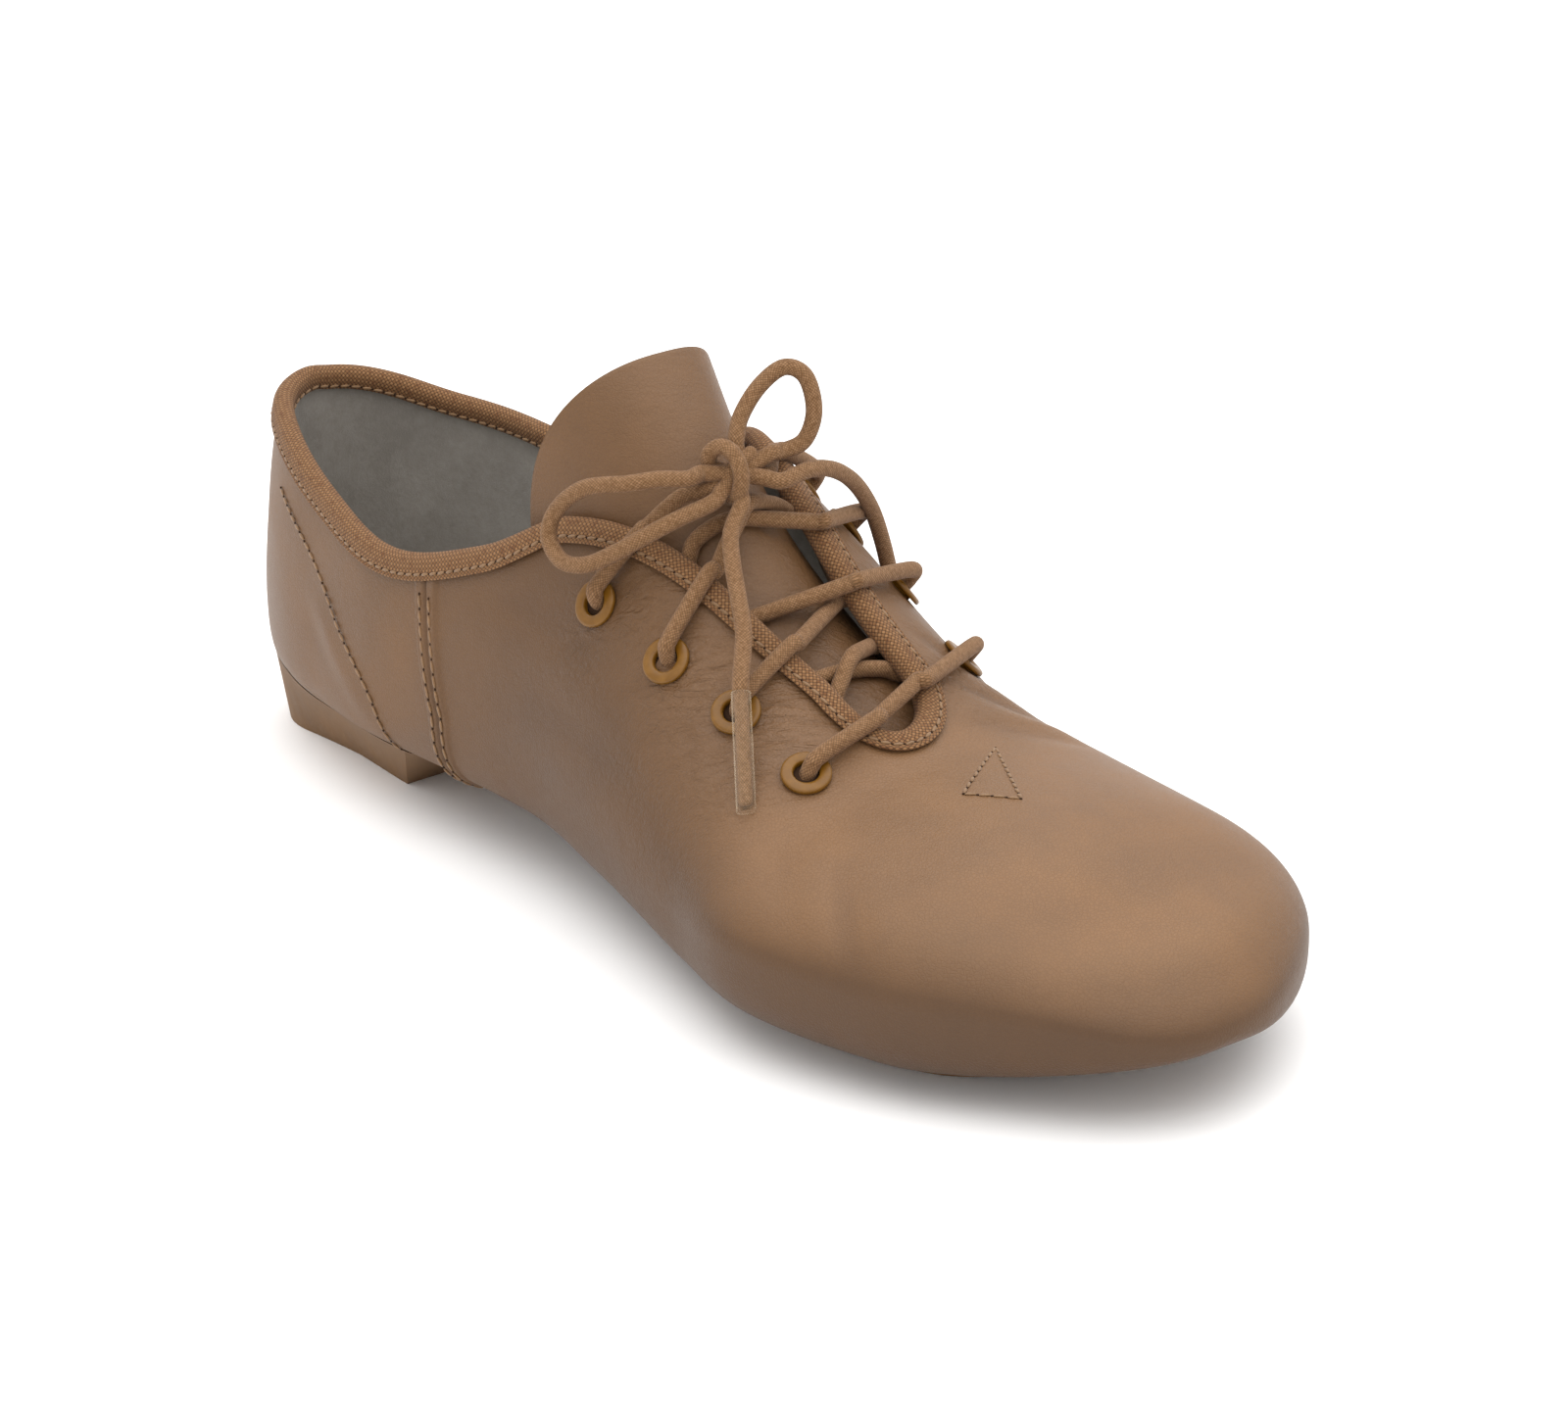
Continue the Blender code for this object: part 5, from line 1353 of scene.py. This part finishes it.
def heelPlan(part):
    # Rows crowded to the back, and places across them as a share of the last, round at the corners
    low, high = heel[part + "Ends"]
    rows = (low + (high - low) * np.linspace(0, 1, 60) ** 1.8) * length
    reach = closing((rows - rows[0]) / (last["heelRound"] * heel[part + "Corner"]))
    full = section(np.maximum(rows, last["heelRound"]))
    shares = np.sin(np.linspace(-1, 1, 45) * np.pi / 2) * heel[part + "Width"]
    across = shares * np.maximum(reach, 0.05)[:, None]
    return rows[:, None], across * np.where(across < 0, full["outer"][:, None], full["inner"][:, None])


def makeHeel():
    # From the last's underside at the top down to a smaller flat base
    rows, across = heelPlan("top")
    size = section(rows)
    share = across / np.where(across < 0, size["outer"], size["inner"])
    top = underside(rows, np.clip(share, -0.95, 0.95))
    top[..., 2] -= last["gap"] + heel["clearance"]
    rows, across = heelPlan("base")
    bottom = np.stack([rows + 0 * across, section(rows)["middle"] + across, 0 * across], -1)
    shape, faces = slab(top, bottom)
    soften(addPiece("heelBlock", shape, faces, rubber, slotName="rubber", replaced=["heel"]), heel["edge"])


makeInsole()
makeForefootSole()
makeHeel()
print("sole and heel made")

# Stitches: a short bead of thread between two needle holes
stitch = {
    "seam": 2.75, "counter": 2.55, "tape": 2.15, "tack": 2.2,    # each row's stitch length
    "thread": 0.30, "hole": 0.22, "slant": 7.0, "seamRow": 1.3,    # half sizes, degrees, off the seam
}


def beads(centre, along, normal, size):
    # Small ellipsoids: half lengths of size along, across and out of the surface, joined in one mesh
    rings, around = 7, 8
    t, p = np.linspace(0, np.pi, rings)[:, None], 2 * np.pi * np.arange(around) / around
    shape = np.stack([np.cos(t) + 0 * p, np.sin(t) * np.cos(p), np.sin(t) * np.sin(p)], -1) * np.array(size)
    frames = np.stack([along, np.cross(normal, along), normal], 1)
    points = np.einsum("rak,nkc->nrac", shape, frames) + centre[:, None, None]
    faces, row, column = gridFaces(rings, around, wrapColumns=True)
    each = rings * around
    uv = np.tile(np.stack([row / rings, column / around], -1), (len(centre), 1, 1))
    faces = faces[None] + each * np.arange(len(centre))[:, None, None]
    return points.reshape(-1, 3), faces.reshape(-1, 4), uv


def stitchRow(route, normals, pitch, lift, closed=False):
    # Threads and holes along a route on a surface, the threads turned a little across it
    if closed:
        route, normals = np.vstack([route, route[:1]]), np.vstack([normals, normals[:1]])
    run = distancesAlong(route)
    count = max(1, int(round(run[-1] / pitch)))
    pitch = run[-1] / count
    slant = math.radians(stitch["slant"])
    threadSize = (pitch * 0.42, stitch["thread"], stitch["thread"] * 0.8)
    holeSize = (stitch["hole"] * 1.15, stitch["hole"], 0.16)
    found = []
    # The holes are dark beads of painted shade
    for places, size, height in (((np.arange(count) + 0.5) * pitch, threadSize, lift),
                                 (np.arange(count + (not closed)) * pitch, holeSize, lift - 0.04)):
        normal = unit(between(places, run, normals))
        along = unit(between(places + 0.3, run, route) - between(places - 0.3, run, route))
        along = unit(along - normal * (along * normal).sum(-1)[:, None])
        along = along * math.cos(slant) + np.cross(normal, along) * math.sin(slant)
        found.append(beads(between(places, run, route) + normal * height, along, normal, size))
    return found


def onSurface(x, angle, side):
    # Points of the last, and their normals from the steps along and across it
    high = np.maximum(angle, 6.0)    # Near the ridge the section's own points crowd together
    across = lastPoint(x, high + 1, side) - lastPoint(x, high - 1, side)
    along = lastPoint(x + 1, high, side) - lastPoint(x - 1, high, side)
    point = lastPoint(x, angle, side)
    normal = unit(np.cross(along, across))
    normal *= np.sign((normal * (point - np.stack([x, 0 * x, 0 * x + 22], -1))).sum(-1))[:, None]
    return point, normal


counterLine = ((21.8, 50.5), (39.7, 42.7), (51.0, 33.7), (61.7, 24.0), (65.6, 13.6))    # x, z
tackCorners = ((178.8, 12.7), (190.0, -4.0), (197.4, 1.9))    # x, y


def sideRows():
    # Two rows down each seam, and the counter's row, whose heights give its angles
    seam = upper["seamAt"] * length
    for side in (-1, 1):
        start = float(edgeAngle(np.array(seam), side))
        angle = np.linspace(start + 4.5, 166, 90)
        for off in (-stitch["seamRow"], stitch["seamRow"]):
            x = seam + off + seamLean(seam + off, angle, start)
            yield stitchRow(*onSurface(x, angle, side), stitch["seam"], upper["seamStep"] + 0.10)
        places = splinePoints([(x, z, 0) for x, z in counterLine], 20)
        angle = angleAtHeight(places[:, 0], places[:, 1], side)
        yield stitchRow(*onSurface(places[:, 0], angle, side), stitch["counter"], 0.10)


def tackRows():
    # The triangle's straight sides in plan; how far each place is across the section gives its angle
    corners = [np.array(corner) for corner in tackCorners]
    for first, second in zip(corners, corners[1:] + corners[:1]):
        place = first + (second - first) * np.linspace(0, 1, 20)[:, None]
        size = section(place[:, 0])
        side = np.sign(place[:, 1] - size["middle"])
        reach = np.abs(place[:, 1] - size["middle"]) / np.where(side < 0, size["outer"], size["inner"])
        power = np.where(side < 0, size["outerRound"], size["innerRound"]) / 2
        angle = np.degrees(np.arcsin(reach ** power))
        yield stitchRow(*onSurface(place[:, 0], angle, side), stitch["tack"], 0.10)


def tapeRows():
    # Along the tape's groove outside, and along the inner flange
    thick = bindingSize["thickness"]
    near = last["gap"] + bindingSize["clearance"] + thick * 0.62
    far = -last["wall"] - last["gap"] - bindingSize["clearance"] - thick
    for out, depth, facing in ((near, bindingSize["groove"] - bindingSize["flange"], 1),
                               (far, 0.75 - bindingSize["inner"], -1)):
        route = edge + out * edgeNormal + depth * edgeOut
        yield stitchRow(route, edgeNormal * facing, stitch["tape"], 0.12, True)


def makeStitches():
    # Every row's threads in one piece, and every row's holes in another
    threads, holes = zip(*sideRows(), *tackRows(), *tapeRows())
    for name, rows, material, slotName in (("stitchThreads", threads, thread, "braid"),
                                           ("stitchHoleShades", holes, holeShade, "leather")):
        shape, faces, uv = joined(rows)
        addPiece(name, shape, faces, material, uv, slotName=slotName)


makeStitches()
print("stitches made")

# Floor and light
floorLook = {"size": 12.0, "colour": "#FBFAF9"}


def makeFloor():
    # One square of white paper under the shoe, wider than the view
    colour = toLinear(floorLook["colour"])
    material, tree, shader = newMaterial("paperSeamlessMatt", Base_Color=colour, Roughness=0.9)
    half = floorLook["size"] / 2
    mesh = bpy.data.meshes.new("floor")
    corners = [(-half, -half, 0), (half, -half, 0), (half, half, 0), (-half, half, 0)]
    mesh.from_pydata(corners, [], [(0, 1, 2, 3)])
    mesh.materials.append(material)
    floor = bpy.data.objects.new("floor", mesh)
    bpy.context.scene.collection.objects.link(floor)


lights = {    # each lamp's power, size and place
    "sky": 1.0, "top": (24.0, 2.2, (0.15, 0.10, 1.25)), "front": (1.4, 0.9, (0.9, -0.9, 0.8)),
}


def addLight(name, power, size, place):
    # A square lamp that looks at the shoe's middle
    data = bpy.data.lights.new(name, "AREA")
    data.energy, data.size, data.shape = power, size, "SQUARE"
    lamp = bpy.data.objects.new(name, data)
    lamp.location = place
    lamp.rotation_euler = (Vector((0.1, 0, 0.02)) - Vector(place)).to_track_quat("-Z", "Y").to_euler()
    bpy.context.scene.collection.objects.link(lamp)


def makeLight():
    # An even white sky, a wide lamp overhead and a weak one before the shoe
    world = bpy.data.worlds.new("studio")
    world.use_nodes = True
    sky = world.node_tree.nodes["Background"]
    sky.inputs["Color"].default_value = (1, 1, 1, 1)
    sky.inputs["Strength"].default_value = lights["sky"]
    bpy.context.scene.world = world
    for name in ("top", "front"):
        addLight(name, *lights[name])
    bpy.context.scene.view_settings.view_transform = "Standard"


makeFloor()
makeLight()
print("stage made")
